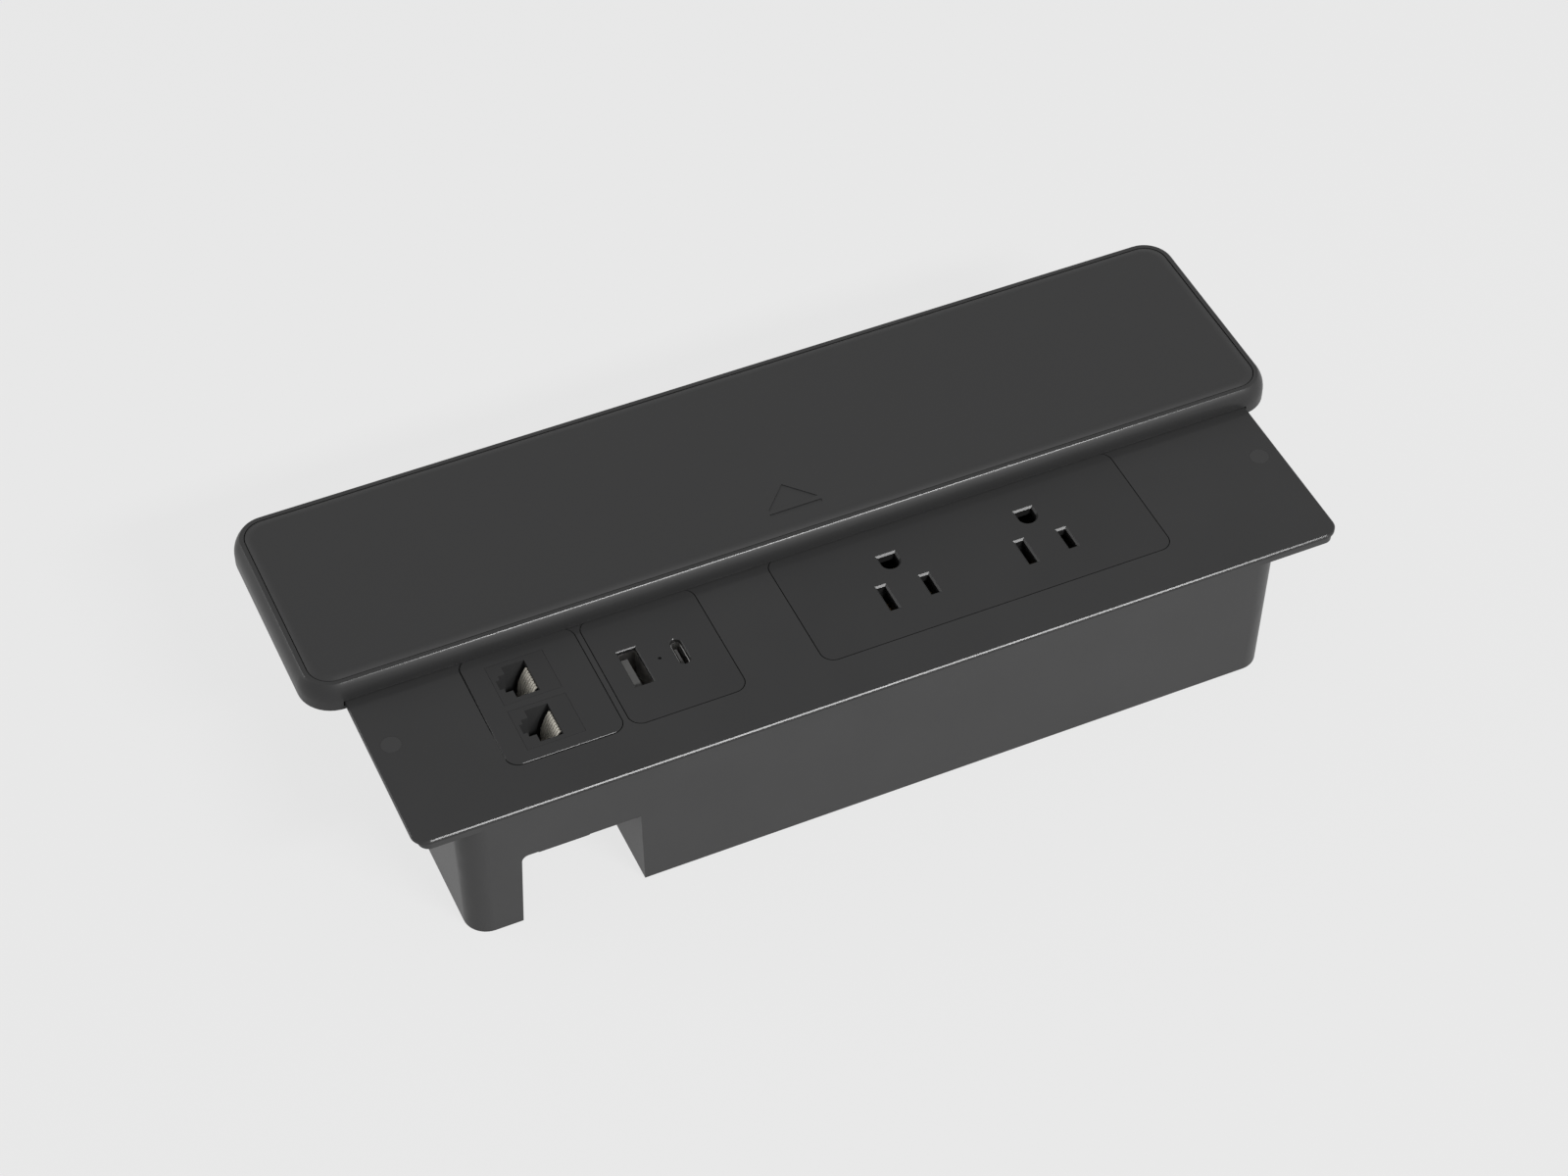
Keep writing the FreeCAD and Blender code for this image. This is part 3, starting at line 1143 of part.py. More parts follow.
def add_wire_outline(sketch):
    """Side view of a contact wire: it leaves the wall in a bend and runs straight down to the floor."""
    wall = "(plug_right_side - contact_wall_gap)"
    middle = f"{wall} + sqrt(contact_bend_radius ^ 2 - contact_bend_height ^ 2)"
    top, floor = number("data_top - contact_top_drop"), number("data_top - plug_reach")
    foot_level = "data_top - contact_top_drop - contact_bend_height"
    centre = FreeCAD.Vector(number(middle), number(foot_level), 0)
    radii = ("contact_bend_radius", "contact_bend_radius + contact_thickness")
    arcs = []
    for radius in radii:
        size = number(radius)
        rise = math.asin(number("contact_bend_height") / size)
        circle = Part.Circle(centre, FreeCAD.Vector(0, 0, 1), size)
        arc = sketch.addGeometry(Part.ArcOfCircle(circle, math.pi - rise, math.pi))
        arcs.append((arc, centre.x - size * math.cos(rise), centre.x - size))
        bound = sketch.addConstraint(Sketcher.Constraint("Radius", arc, size))
        sketch.setExpression(f"Constraints[{bound}]", formula(radius))
        pin_point(sketch, arc, 3, middle, foot_level)
    (inner, inner_top, inner_foot), (outer, outer_top, outer_foot) = arcs
    outline = (
        (inner_top, top, outer_top, top), (outer_foot, centre.y, outer_foot, floor),
        (outer_foot, floor, inner_foot, floor), (inner_foot, floor, inner_foot, centre.y))
    lines = [sketch.addGeometry(Part.LineSegment(FreeCAD.Vector(x, y, 0), FreeCAD.Vector(far_x, far_y, 0)))
             for x, y, far_x, far_y in outline]
    head, side, foot, back = lines
    for first, first_end, second, second_end in (
            (inner, 1, head, 1), (outer, 1, head, 2), (outer, 2, side, 1),
            (side, 2, foot, 1), (foot, 2, back, 1), (inner, 2, back, 2)):
        sketch.addConstraint(Sketcher.Constraint("Coincident", first, first_end, second, second_end))
    for line in (head, foot):
        sketch.addConstraint(Sketcher.Constraint("Horizontal", line))
    for line in (side, back):
        sketch.addConstraint(Sketcher.Constraint("Vertical", line))
    for line, text in ((head, "data_top - contact_top_drop"), (foot, "data_top - plug_reach")):
        bound = sketch.addConstraint(Sketcher.Constraint("DistanceY", -1, 1, line, 1, number(text)))
        sketch.setExpression(f"Constraints[{bound}]", formula(text))
    for arc in (inner, outer):
        bound = sketch.addConstraint(Sketcher.Constraint("DistanceY", -1, 1, arc, 2, number(foot_level)))
        sketch.setExpression(f"Constraints[{bound}]", formula(foot_level))


def make_jack_contacts(name):
    """Eight spring wires along the right wall of the plug's opening."""
    row = JACKS[name]
    body = start_body(f"jack_contacts_{name}")
    first = f"{row} - (contact_count - 1) * contact_pitch / 2"
    wire = sketch_on(body, "wire", f"-({first})", role="XZ_Plane")
    add_wire_outline(wire)
    first_wire = pad(body, wire, "contact_width", both=True)
    row_of_wires = body.newObject("PartDesign::LinearPattern", f"{body.Name}_row")
    row_of_wires.Originals = [first_wire]
    y_axis = next(item for item in body.Origin.OriginFeatures if item.Role == "Y_Axis")
    row_of_wires.Direction = (y_axis, [""])
    row_of_wires.setExpression("Length", formula("(contact_count - 1) * contact_pitch"))
    row_of_wires.setExpression("Occurrences", formula("contact_count"))
    body.Tip = row_of_wires
    doc.recompute()
    return body


def make_jack_cap(name):
    """The cap that holds the cable's wires down, slotted along both long sides."""
    row = JACKS[name]
    body = start_body(f"jack_cap_{name}")
    block = sketch_on(body, "block", "jack_cap_level")
    add_block(block, "jack_across", row, "jack_face_length - 2 * jack_cap_inset",
              "jack_face_depth + 2 * jack_cap_overhang", "jack_cap_radius")
    pad(body, block, "jack_cap_drop", down=True)
    mouth = sketch_on(body, "cable_mouth", "jack_cap_level - jack_cap_drop")
    add_circle(mouth, "jack_across", row, "jack_cap_bore")
    pocket(body, mouth, "jack_cap_drop - jack_cap_roof", down=False)
    slots = sketch_on(body, "wire_slots", "jack_cap_level")
    for side in ("-", "+"):
        edge = f"{row} {side} (jack_face_depth / 2 + jack_cap_overhang)"
        for place in (-3, -1, 1, 3):
            add_block(slots, f"jack_across + {place} * wire_slot_pitch / 2", edge,
                      "wire_slot_width", "2 * wire_slot_depth")
    pocket(body, slots, "jack_cap_height / 2")
    return body


def make_screw_cap(label, side):
    """A flush cap over a fixing hole, pressed into its seat in the plate."""
    cap = doc.addObject("Part::Cylinder", label)
    cap.Label = label
    cap.setExpression("Radius", formula("cap_diameter / 2"))
    cap.setExpression("Height", formula("plate_thickness"))
    set_place(cap, f"{side}fixing_spacing / 2", "fixing_offset", "flange_thickness")
    doc.recompute()
    return cap


def make_cord_bushing():
    """A bush with a rim outside the back wall, and a bore for the supply cord."""
    body = start_body("cord_bushing")
    seat = "deck_depth / 2 - bushing_seat"
    rim = sketch_on(body, "rim", f"-({seat})", role="XZ_Plane")
    add_circle(rim, "cord_entry_across", "-cord_entry_level", "bushing_rim_diameter")
    pad(body, rim, "wall_thickness / 2", down=True)
    barrel = sketch_on(body, "barrel", f"-({seat})", role="XZ_Plane")
    add_circle(barrel, "cord_entry_across", "-cord_entry_level", "bushing_diameter - 2 * bushing_gap")
    pad(body, barrel, "bushing_barrel")
    bore = sketch_on(body, "bore", "-deck_depth / 2 - cut_margin", role="XZ_Plane")
    add_circle(bore, "cord_entry_across", "-cord_entry_level", "cord_diameter")
    pocket(body, bore, "bushing_barrel + wall_thickness + 2 * cut_margin", down=False)
    return body


def lid_section(body, name, rise):
    """The lid's outline at a height above its straight foot, on the arc that its walls follow."""
    inset = f"lid_bulge_radius * (1 - sqrt(1 - ({rise}) ^ 2 / lid_bulge_radius ^ 2))"
    section = sketch_on(body, name, f"lid_desk_gap + lid_straight + {rise}")
    add_block(section, "0", "lid_open_shift", f"lid_length - 2 * ({inset})", f"lid_depth - 2 * ({inset})",
              f"lid_corner_radius - {inset}")
    return section


def make_lid_frame():
    """Lid frame: four skirts that lean in above a straight foot, a web, and a rim round the panel."""
    body = start_body("lid_frame")
    wall_top = "(lid_bulge_rise - lid_edge_chamfer)"
    sections = [lid_section(body, f"outline_{step}", f"{wall_top} * {step} / {WALL_STEPS}")
                for step in range(WALL_STEPS + 1)]
    skirts = body.newObject("PartDesign::AdditiveLoft", "lid_frame_skirts")
    skirts.Profile = (sections[0], [""])
    skirts.Sections = [(section, [""]) for section in sections[1:]]
    doc.recompute()
    pad(body, sections[0], "lid_straight", down=True)
    edge = lid_section(body, "edge", wall_top)
    pad(body, edge, "lid_edge_chamfer", taper="-45")
    hollow = sketch_on(body, "hollow", "lid_desk_gap")
    add_block(hollow, "0", "lid_open_shift",
              "lid_length - 2 * skirt_inset", "lid_depth - 2 * skirt_inset",
              "lid_corner_radius - skirt_inset")
    pocket(body, hollow, "web_level - lid_desk_gap", down=False, taper="-lid_hollow_slope")
    recess = sketch_on(body, "panel_recess", "lid_top")
    add_block(recess, "0", "lid_open_shift",
              "lid_top_length - 2 * rim_width", "lid_top_depth - 2 * rim_width",
              "lid_top_radius - rim_width")
    pocket(body, recess, "panel_thickness")
    gate = sketch_on(body, "deck_gate", "-lid_open_shift + lid_depth / 2 + cut_margin", role="XZ_Plane")
    right_side = (
        ("runner_inner", "gate_top"), ("runner_inner", "lip_bottom"),
        ("runner_lip", "lip_bottom"), ("runner_lip", "-cut_margin"))
    left_side = [(f"-{across}", level) for across, level in reversed(right_side)]
    add_polygon(gate, left_side + list(right_side))
    pocket(body, gate, "gate_depth + cut_margin")
    bosses = sketch_on(body, "bosses", "web_level")
    for across, row in runner_screw_places():
        add_circle(bosses, across, row, "runner_boss_diameter")
    pad(body, bosses, "web_level - runner_clamp", down=True)
    threads = sketch_on(body, "threads", "runner_clamp")
    for across, row in runner_screw_places():
        add_circle(threads, across, row, "small_screw_hole")
    pocket(body, threads, "web_level - runner_clamp + lid_web / 2", down=False)
    pegs = sketch_on(body, "peg_holes", "panel_level")
    for across, row in peg_places():
        add_circle(pegs, across, row, "peg_diameter + 2 * peg_gap")
    pocket(body, pegs, "lid_web")
    return body


def runner_screw_places():
    return [(f"{side}runner_screw_across", f"lid_open_shift + {place} * runner_screw_spacing")
            for side in ("-", "") for place in (-1, 0, 1)]


def peg_places():
    """Three pairs of pegs along the panel, at its middle and a third of its length from it."""
    return [(f"{place} * panel_length / 3", f"lid_open_shift {sign} panel_depth / 4")
            for place in (-1, 0, 1) for sign in ("-", "+")]


def make_lid_panel():
    """Inset panel: its top rolls off at the edges, and pegs under it hold it in the frame."""
    body = start_body("lid_panel")
    blank = sketch_on(body, "blank", "panel_top")
    add_block(blank, "0", "lid_open_shift",
              "panel_length + 2 * panel_spread", "panel_depth + 2 * panel_spread",
              "panel_radius + panel_spread")
    pad(body, blank, "panel_crown_radius + cut_margin", down=True)
    rim = edges_where(body, lambda edge: lies_at(edge, number("panel_top")))
    dress(body, "Fillet", rim, {"Radius": "panel_crown_radius"})
    trim = sketch_on(body, "trim", "panel_top")
    margin = "2 * (panel_spread + cut_margin)"
    add_block(trim, "0", "lid_open_shift", f"panel_length + {margin}", f"panel_depth + {margin}")
    add_block(trim, "0", "lid_open_shift", "panel_length", "panel_depth", "panel_radius")
    pocket(body, trim, "panel_crown_radius + 2 * cut_margin")
    under = sketch_on(body, "underside", "panel_level")
    add_block(under, "0", "lid_open_shift", "panel_length + cut_margin", "panel_depth + cut_margin")
    pocket(body, under, "panel_crown_radius")
    mark = sketch_on(body, "mark", "panel_top")
    row = "lid_open_shift - mark_forward"
    add_polygon(mark, (("-mark_width / 2", row), ("mark_width / 2", row), ("0", f"{row} + mark_height")))
    add_rectangle(mark, "-mark_width / 2 - mark_bar_overhang", "mark_width / 2 + mark_bar_overhang",
                  f"{row} - mark_bar_gap - mark_bar_width", f"{row} - mark_bar_gap")
    pocket(body, mark, "mark_depth")
    pegs = sketch_on(body, "pegs", "panel_level")
    for across, row in peg_places():
        add_circle(pegs, across, row, "peg_diameter")
    pad(body, pegs, "lid_web + peg_tip", down=True)
    return body


def make_lid_runner(label, side):
    """A runner with two jaws that hold the lip of the deck, and a heel that stops the lid."""
    body = start_body(label)
    section = sketch_on(body, "section", "-lid_open_shift", role="XZ_Plane")
    jaw = "(deck_length / 2 - runner_jaw)"
    corners = (
        ("runner_lip", "runner_bottom"), ("runner_outer", "runner_bottom"), ("runner_outer", "web_level"),
        (jaw, "web_level"), (jaw, "gate_top"), ("runner_inner", "gate_top"),
        ("runner_inner", "lip_bottom"), ("runner_lip", "lip_bottom"))
    add_polygon(section, [(side + across, level) for across, level in corners])
    pad(body, section, "2 * runner_half", both=True)
    ends = edges_where(body, lambda edge: (
        abs(abs(edge.BoundBox.Center.x) - number("runner_outer")) < TOUCHING
        and edge.BoundBox.XLength < TOUCHING and edge.BoundBox.YLength < TOUCHING))
    dress(body, "Fillet", ends, {"Radius": "runner_end_radius"})
    heel = sketch_on(body, "heel", "runner_bottom")
    near, far = f"{side}(flange_end - stop_heel_reach)", f"{side}(runner_lip + slide_gap)"
    span = (far, near) if side else (near, far)
    add_rectangle(heel, *span, "heel_front", "heel_back")
    pad(body, heel, "lip_bottom - runner_bottom")
    places = [place for place in runner_screw_places() if place[0].startswith("-") == bool(side)]
    sockets = sketch_on(body, "boss_sockets", "web_level")
    for across, row in places:
        add_circle(sockets, across, row, "runner_boss_diameter + 2 * screw_gap")
    pocket(body, sockets, "web_level - runner_clamp")
    holes = sketch_on(body, "screw_holes", "runner_clamp")
    for across, row in places:
        add_circle(holes, across, row, "small_screw_hole")
    pocket(body, holes, "runner_clamp - runner_bottom")
    heads = sketch_on(body, "head_seats", "runner_bottom")
    for across, row in places:
        add_circle(heads, across, row, "runner_head_diameter + 2 * runner_head_gap")
    pocket(body, heads, "runner_seat - runner_bottom", down=False)
    return body


def make_runner_screws():
    return make_screws("runner_screws", runner_screw_places(), "runner_seat",
                       "web_level - runner_seat + lid_web / 2 - screw_gap",
                       "runner_screw_diameter", "runner_head_diameter", "runner_head_height")


BUILDERS = [
    make_deck_plate, make_housing, make_housing_screws, make_cord_bushing,
    lambda: make_screw_cap("screw_cap_left", "-"), lambda: make_screw_cap("screw_cap_right", ""),
    make_duplex_plate, make_duplex_body, make_neutral_strap, make_hot_strap, make_ground_strap,
    make_duplex_screws,
    make_usb_plate, make_usb_cover, make_usb_board, make_usb_screws, make_usb_a_shell, make_usb_a_tongue,
    make_usb_a_contacts, make_usb_c_shell, make_usb_c_tongue, make_light_pipe, make_usb_transformer,
    make_usb_capacitors, make_data_plate,
    lambda: make_jack_body("front"), lambda: make_jack_body("back"),
    lambda: make_jack_contacts("front"), lambda: make_jack_contacts("back"),
    lambda: make_jack_cap("front"), lambda: make_jack_cap("back"),
    make_lid_frame, make_lid_panel,
    lambda: make_lid_runner("lid_runner_left", "-"), lambda: make_lid_runner("lid_runner_right", ""),
    make_runner_screws,
]


def finish():
    """Checks the whole document, and writes each sub-part."""
    doc.recompute()
    for item in doc.Objects:
        if "Invalid" in item.State or "Error" in item.State:
            raise RuntimeError(f"{item.Name} failed: {item.State}")
    os.makedirs("parts", exist_ok=True)
    for piece in pieces:
        if piece.Shape.isNull() or not piece.Shape.isValid():
            raise RuntimeError(f"{piece.Label} has no valid shape")
        piece.Shape.exportStep(f"parts/{piece.Label}.step")
        print(piece.Label, len(piece.Shape.Solids), round(piece.Shape.Volume, 1))


pieces = [build() for build in BUILDERS]
finish()
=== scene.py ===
"""Looks of the in-desk power module: the photograph's view, soft light and procedural finishes."""
import json
import math

import bpy
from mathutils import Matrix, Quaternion, Vector


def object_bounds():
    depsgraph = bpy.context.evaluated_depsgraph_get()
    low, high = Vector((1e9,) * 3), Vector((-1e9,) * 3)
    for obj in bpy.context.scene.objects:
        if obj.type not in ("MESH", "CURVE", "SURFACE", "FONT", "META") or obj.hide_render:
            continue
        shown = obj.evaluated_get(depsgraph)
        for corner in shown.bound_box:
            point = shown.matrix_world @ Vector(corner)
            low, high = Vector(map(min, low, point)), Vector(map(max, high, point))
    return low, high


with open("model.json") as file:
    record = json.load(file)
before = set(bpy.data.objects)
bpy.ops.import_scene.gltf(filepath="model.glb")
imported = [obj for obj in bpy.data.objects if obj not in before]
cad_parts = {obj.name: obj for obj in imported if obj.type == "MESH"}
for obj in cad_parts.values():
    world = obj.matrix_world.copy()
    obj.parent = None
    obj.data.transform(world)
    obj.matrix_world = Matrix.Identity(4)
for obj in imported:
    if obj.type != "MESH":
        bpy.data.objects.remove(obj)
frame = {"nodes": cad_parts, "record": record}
cad_bounds = [list(corner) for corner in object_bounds()]
lowest = Vector(cad_bounds[0])
highest = Vector(cad_bounds[1])
centre = (lowest + highest) / 2
reach = (highest - lowest).length

# The camera, worked out from the vanishing points of the deck's edges.
CAMERA_PLACE = (-0.29165, -0.60695, 0.727)
CAMERA_TURN_DEG = (43.045, -0.0219, -24.3001)
CAMERA_LENS_MM = 83.364
CAMERA_SENSOR_MM = 36.0

# The background's plain level, and the even light from all round.
BACKDROP_LEVEL = 0.813
AMBIENT_LEVEL = 0.42

# The pale floor, which lies just under the housing.
FLOOR_DIFFUSE = 0.8
FLOOR_SHADOW_SHARE = 0.07
FLOOR_WIDTH = 24 * reach
FLOOR_GAP = 0.0002

# The lamps. The key lamp is a wide strip, which draws the bright lines along the edges.
LAMP_DISTANCE = 8 * reach
KEY_DIRECTION = Vector((0.2763, -0.7471, 0.6046))
KEY_SIZE = (2.9 * reach, 0.73 * reach)
KEY_ROLL_DEG = -10.5
KEY_POWER = 56.0
FILL_DIRECTION = Vector((-0.78, 0.52, 0.3))
FILL_SIZE = (3 * reach, 3 * reach)
FILL_POWER = 14.0

# Facets are joined where their corners are this near, and shaded as one below this angle.
WELD_DISTANCE = 0.000002
EDGE_ANGLE_DEG = 27.0
# Nodes whose bulges are made of narrow strips, so large faces must not outweigh small ones.
UNWEIGHTED_NODES = {"lid_frame"}

# A face counts as steep below the first upward share of its normal, as level above the second.
# Painted shade is full on steep faces and fades out towards level ones.
SIDE_NORMAL_RISE = 0.3
FACE_NORMAL_RISE = 0.6

# Most of a noise lies between these two values.
NOISE_LOW = 0.3
NOISE_HIGH = 0.7

# Colours, as linear red, green and blue.
DECK_GREY = (0.0325, 0.0325, 0.0328)
FACE_GREY = (0.0335, 0.0335, 0.0338)
LID_GREY = (0.0192, 0.0192, 0.0194)
PANEL_GREY = (0.0098, 0.0098, 0.01)
HOUSING_GREY = (0.0485, 0.0485, 0.0488)
INNER_BLACK = (0.012, 0.012, 0.012)
CAP_GREY = (0.049, 0.049, 0.0493)
JACK_GREY = (0.0365, 0.0365, 0.0368)
TONGUE_GREY = (0.1, 0.1, 0.098)
RUNNER_BLACK = (0.02, 0.02, 0.021)
BUSH_BLACK = (0.018, 0.018, 0.018)
PIPE_GREY = (0.006, 0.006, 0.006)
TAPE_YELLOW = (0.52, 0.36, 0.05)
ZINC = (0.56, 0.57, 0.6)
NICKEL = (0.47, 0.465, 0.455)
BRASS = (0.4, 0.27, 0.11)
GOLD = (0.76, 0.73, 0.655)
CAN_METAL = (0.6, 0.61, 0.63)
LAMINATE_GREEN = (0.012, 0.07, 0.028)
TRACK_GREEN = (0.03, 0.14, 0.06)

# Gloss of the plastics: specular levels, weights and roughness of the polish, and the roughness
# that most of them have.
PLAIN_SPECULAR = 0.05
HOUSING_SPECULAR = 0.12
LID_SPECULAR = 0.25
PANEL_SPECULAR = 0.5
FACE_POLISH = 0.12
FULL_POLISH = 0.22
POLISH_ROUGHNESS = 0.15
SATIN = 0.5

# Moulded plastic: the size of its mottles and grain in metres, and how far its roughness swings.
MOTTLE_SIZE = 0.03
GRAIN_SIZE = 0.00035
GRAIN_DEPTH = 0.000002
COLOUR_SWING = 0.03
ROUGHNESS_SWING = 0.015

# Strokes of rolled or drawn metal: size and depth in metres, the darkest and palest factor of
# the colour, how far the roughness goes down and up, and the scales of the noise along X, Y and Z.
# A low scale draws the strokes out along its axis.
STROKE_SIZE = 0.0002
STROKE_DEPTH = 0.000004
STROKE_SHADES = (0.86, 1.06)
STROKE_SMOOTHER = 0.06
STROKE_ROUGHER = 0.08
ALONG_X = (0.1, 1.0, 1.0)
FAR_ALONG_X = (0.05, 1.0, 1.0)
ALONG_Z = (1.0, 1.0, 0.05)
ACROSS_Z = (0.2, 0.2, 1.0)

# Circuit board: tracks for each metre, where they begin and end, their height, and the weave.
TRACKS_PER_METRE = 260.0
LAMINATE_ENDS = 0.42
TRACKS_BEGIN = 0.5
TRACK_DEPTH = 0.00002
WEAVE_SIZE = 0.0004
WEAVE_ROUGHNESS = (0.3, 0.42)

# Moulded finishes by material slot. A painted shade level under 1 paints shade into the colour of
# the steep faces, such as the sides of narrow gaps.
PLASTICS = {
    "deck_plastic": {"colour": DECK_GREY, "roughness": SATIN, "polish": FULL_POLISH},
    "housing_plastic": {"colour": HOUSING_GREY, "roughness": 0.36,
                        "specular": HOUSING_SPECULAR, "grain_size": 0.0005},
    "face_plastic": {"colour": FACE_GREY, "roughness": SATIN,
                     "polish": FACE_POLISH, "painted_shade_level": 0.4},
    "cap_plastic": {"colour": CAP_GREY, "roughness": SATIN},
    "lid_plastic": {"colour": LID_GREY, "roughness": SATIN,
                    "specular": LID_SPECULAR, "polish": FULL_POLISH},
    "panel_plastic": {"colour": PANEL_GREY, "roughness": 0.58,
                      "specular": PANEL_SPECULAR, "painted_shade_level": 0.3},
    "inner_plastic": {"colour": INNER_BLACK, "roughness": 0.45},
    "jack_plastic": {"colour": JACK_GREY, "roughness": SATIN, "painted_shade_level": 0.92},
    "tongue_plastic": {"colour": TONGUE_GREY, "roughness": 0.35},
    "runner_nylon": {"colour": RUNNER_BLACK, "roughness": 0.3, "specular": LID_SPECULAR},
    "soft_black": {"colour": BUSH_BLACK, "roughness": 0.6,
                   "grain_size": 0.0006, "grain_depth": 0.00002},
    "clear_plastic": {"colour": PIPE_GREY, "roughness": 0.12, "specular": LID_SPECULAR},
    "winding_tape": {"colour": TAPE_YELLOW, "roughness": 0.4, "grain_size": 0.001,
                     "grain_depth": 0.00003, "colour_swing": 0.15},
}

# Metal finishes by material slot.
METALS = {
    "can_aluminium": {"colour": CAN_METAL, "roughness": 0.32},
    "screw_steel": {"colour": ZINC, "roughness": 0.34, "stretch": ACROSS_Z},
    "port_steel": {"colour": NICKEL, "roughness": 0.35},
    "strap_brass": {"colour": BRASS, "roughness": 0.3, "stretch": FAR_ALONG_X},
    "contact_gold": {"colour": GOLD, "roughness": 0.62, "stretch": ALONG_X},
}


def opaque(colour):
    """A colour with full alpha, as the sockets take it."""
    return (*colour, 1.0)


def grey(level):
    """An opaque neutral colour."""
    return opaque((level, level, level))


def shade(colour, factor):
    """A colour made darker or lighter."""
    return tuple(channel * factor for channel in colour)


def new_material(name):
    """A material with only its shader and output, and the parts that every finish needs."""
    material = bpy.data.materials.new(name)
    material.use_nodes = True
    nodes = material.node_tree.nodes
    links = material.node_tree.links
    return material, nodes, links, nodes["Principled BSDF"]


def noise(nodes, links, size, detail=2.0, stretch=(1.0, 1.0, 1.0)):
    """Noise of one feature size in metres, fixed to the part, drawn out where a scale is low."""
    place = nodes.new("ShaderNodeTexCoord")
    mapping = nodes.new("ShaderNodeMapping")
    mapping.inputs["Scale"].default_value = stretch
    texture = nodes.new("ShaderNodeTexNoise")
    texture.inputs["Scale"].default_value = 1.0 / size
    texture.inputs["Detail"].default_value = detail
    links.new(place.outputs["Object"], mapping.inputs["Vector"])
    links.new(mapping.outputs["Vector"], texture.inputs["Vector"])
    return texture.outputs["Fac"]


def spread(nodes, links, value, low, high):
    """Maps the middle of a noise to the range from low to high."""
    scale = nodes.new("ShaderNodeMapRange")
    scale.inputs["From Min"].default_value = NOISE_LOW
    scale.inputs["From Max"].default_value = NOISE_HIGH
    scale.inputs["To Min"].default_value = low
    scale.inputs["To Max"].default_value = high
    links.new(value, scale.inputs["Value"])
    return scale.outputs["Result"]


def tint(nodes, links, factor, first, second):
    """Mixes two colours by a factor."""
    mix = nodes.new("ShaderNodeMix")
    mix.data_type = "RGBA"
    mix.inputs["A"].default_value = opaque(first)
    mix.inputs["B"].default_value = opaque(second)
    links.new(factor, mix.inputs["Factor"])
    return mix.outputs["Result"]


def paint_side_shade(nodes, links, colour, level):
    """The colour on faces that look up, with painted shade on steep ones, such as the sides of
    gaps.
    """
    place = nodes.new("ShaderNodeTexCoord")
    split = nodes.new("ShaderNodeSeparateXYZ")
    rise = nodes.new("ShaderNodeMapRange")
    rise.inputs["From Min"].default_value = SIDE_NORMAL_RISE
    rise.inputs["From Max"].default_value = FACE_NORMAL_RISE
    rise.inputs["To Min"].default_value = level
    rise.inputs["To Max"].default_value = 1.0
    dim = nodes.new("ShaderNodeVectorMath")
    dim.operation = "SCALE"
    links.new(place.outputs["Normal"], split.inputs["Vector"])
    links.new(split.outputs["Z"], rise.inputs["Value"])
    links.new(colour, dim.inputs[0])
    links.new(rise.outputs["Result"], dim.inputs["Scale"])
    return dim.outputs["Vector"]


def grain(nodes, links, shader, height, depth):
    """Bump of a real depth in metres."""
    bump = nodes.new("ShaderNodeBump")
    bump.inputs["Distance"].default_value = depth
    bump.inputs["Strength"].default_value = 1.0
    links.new(height, bump.inputs["Height"])
    links.new(bump.outputs["Normal"], shader.inputs["Normal"])


def moulded(name, colour, roughness, specular=PLAIN_SPECULAR, polish=0.0, grain_size=GRAIN_SIZE,
            grain_depth=GRAIN_DEPTH, colour_swing=COLOUR_SWING, painted_shade_level=1.0):
    """Moulded plastic with a fine eroded grain, faint mottling and a little change in its gloss.

    Polish is a thin sharp gloss over the soft one, which draws the bright lines along the edges; a
    painted shade level under 1 darkens steep faces as painted shade.
    """
    material, nodes, links, shader = new_material(name)
    shader.inputs["Specular IOR Level"].default_value = specular
    shader.inputs["Coat Weight"].default_value = polish
    shader.inputs["Coat Roughness"].default_value = POLISH_ROUGHNESS
    mottle = noise(nodes, links, MOTTLE_SIZE, detail=3.0)
    factor = spread(nodes, links, mottle, 0.0, 1.0)
    pale = shade(colour, 1.0 + colour_swing)
    dark = shade(colour, 1.0 - colour_swing)
    mottled = tint(nodes, links, factor, dark, pale)
    # Painted shade: the colour of steep faces is darkened, in place of the shade inside narrow
    # gaps.
    if painted_shade_level < 1.0:
        mottled = paint_side_shade(nodes, links, mottled, painted_shade_level)
    links.new(mottled, shader.inputs["Base Color"])
    sparkle = noise(nodes, links, grain_size)
    gloss = spread(nodes, links, sparkle, roughness - ROUGHNESS_SWING, roughness + ROUGHNESS_SWING)
    links.new(gloss, shader.inputs["Roughness"])
    grain(nodes, links, shader, sparkle, grain_depth)
    return material


def plated(name, colour, roughness, stretch=ALONG_Z):
    """Rolled or drawn metal with fine strokes along its length."""
    material, nodes, links, shader = new_material(name)
    strokes = noise(nodes, links, STROKE_SIZE, detail=3.0, stretch=stretch)
    factor = spread(nodes, links, strokes, 0.0, 1.0)
    dark, pale = (shade(colour, level) for level in STROKE_SHADES)
    links.new(tint(nodes, links, factor, dark, pale), shader.inputs["Base Color"])
    gloss = spread(nodes, links, strokes, roughness - STROKE_SMOOTHER, roughness + STROKE_ROUGHER)
    links.new(gloss, shader.inputs["Roughness"])
    shader.inputs["Metallic"].default_value = 1.0
    grain(nodes, links, shader, strokes, STROKE_DEPTH)
    return material


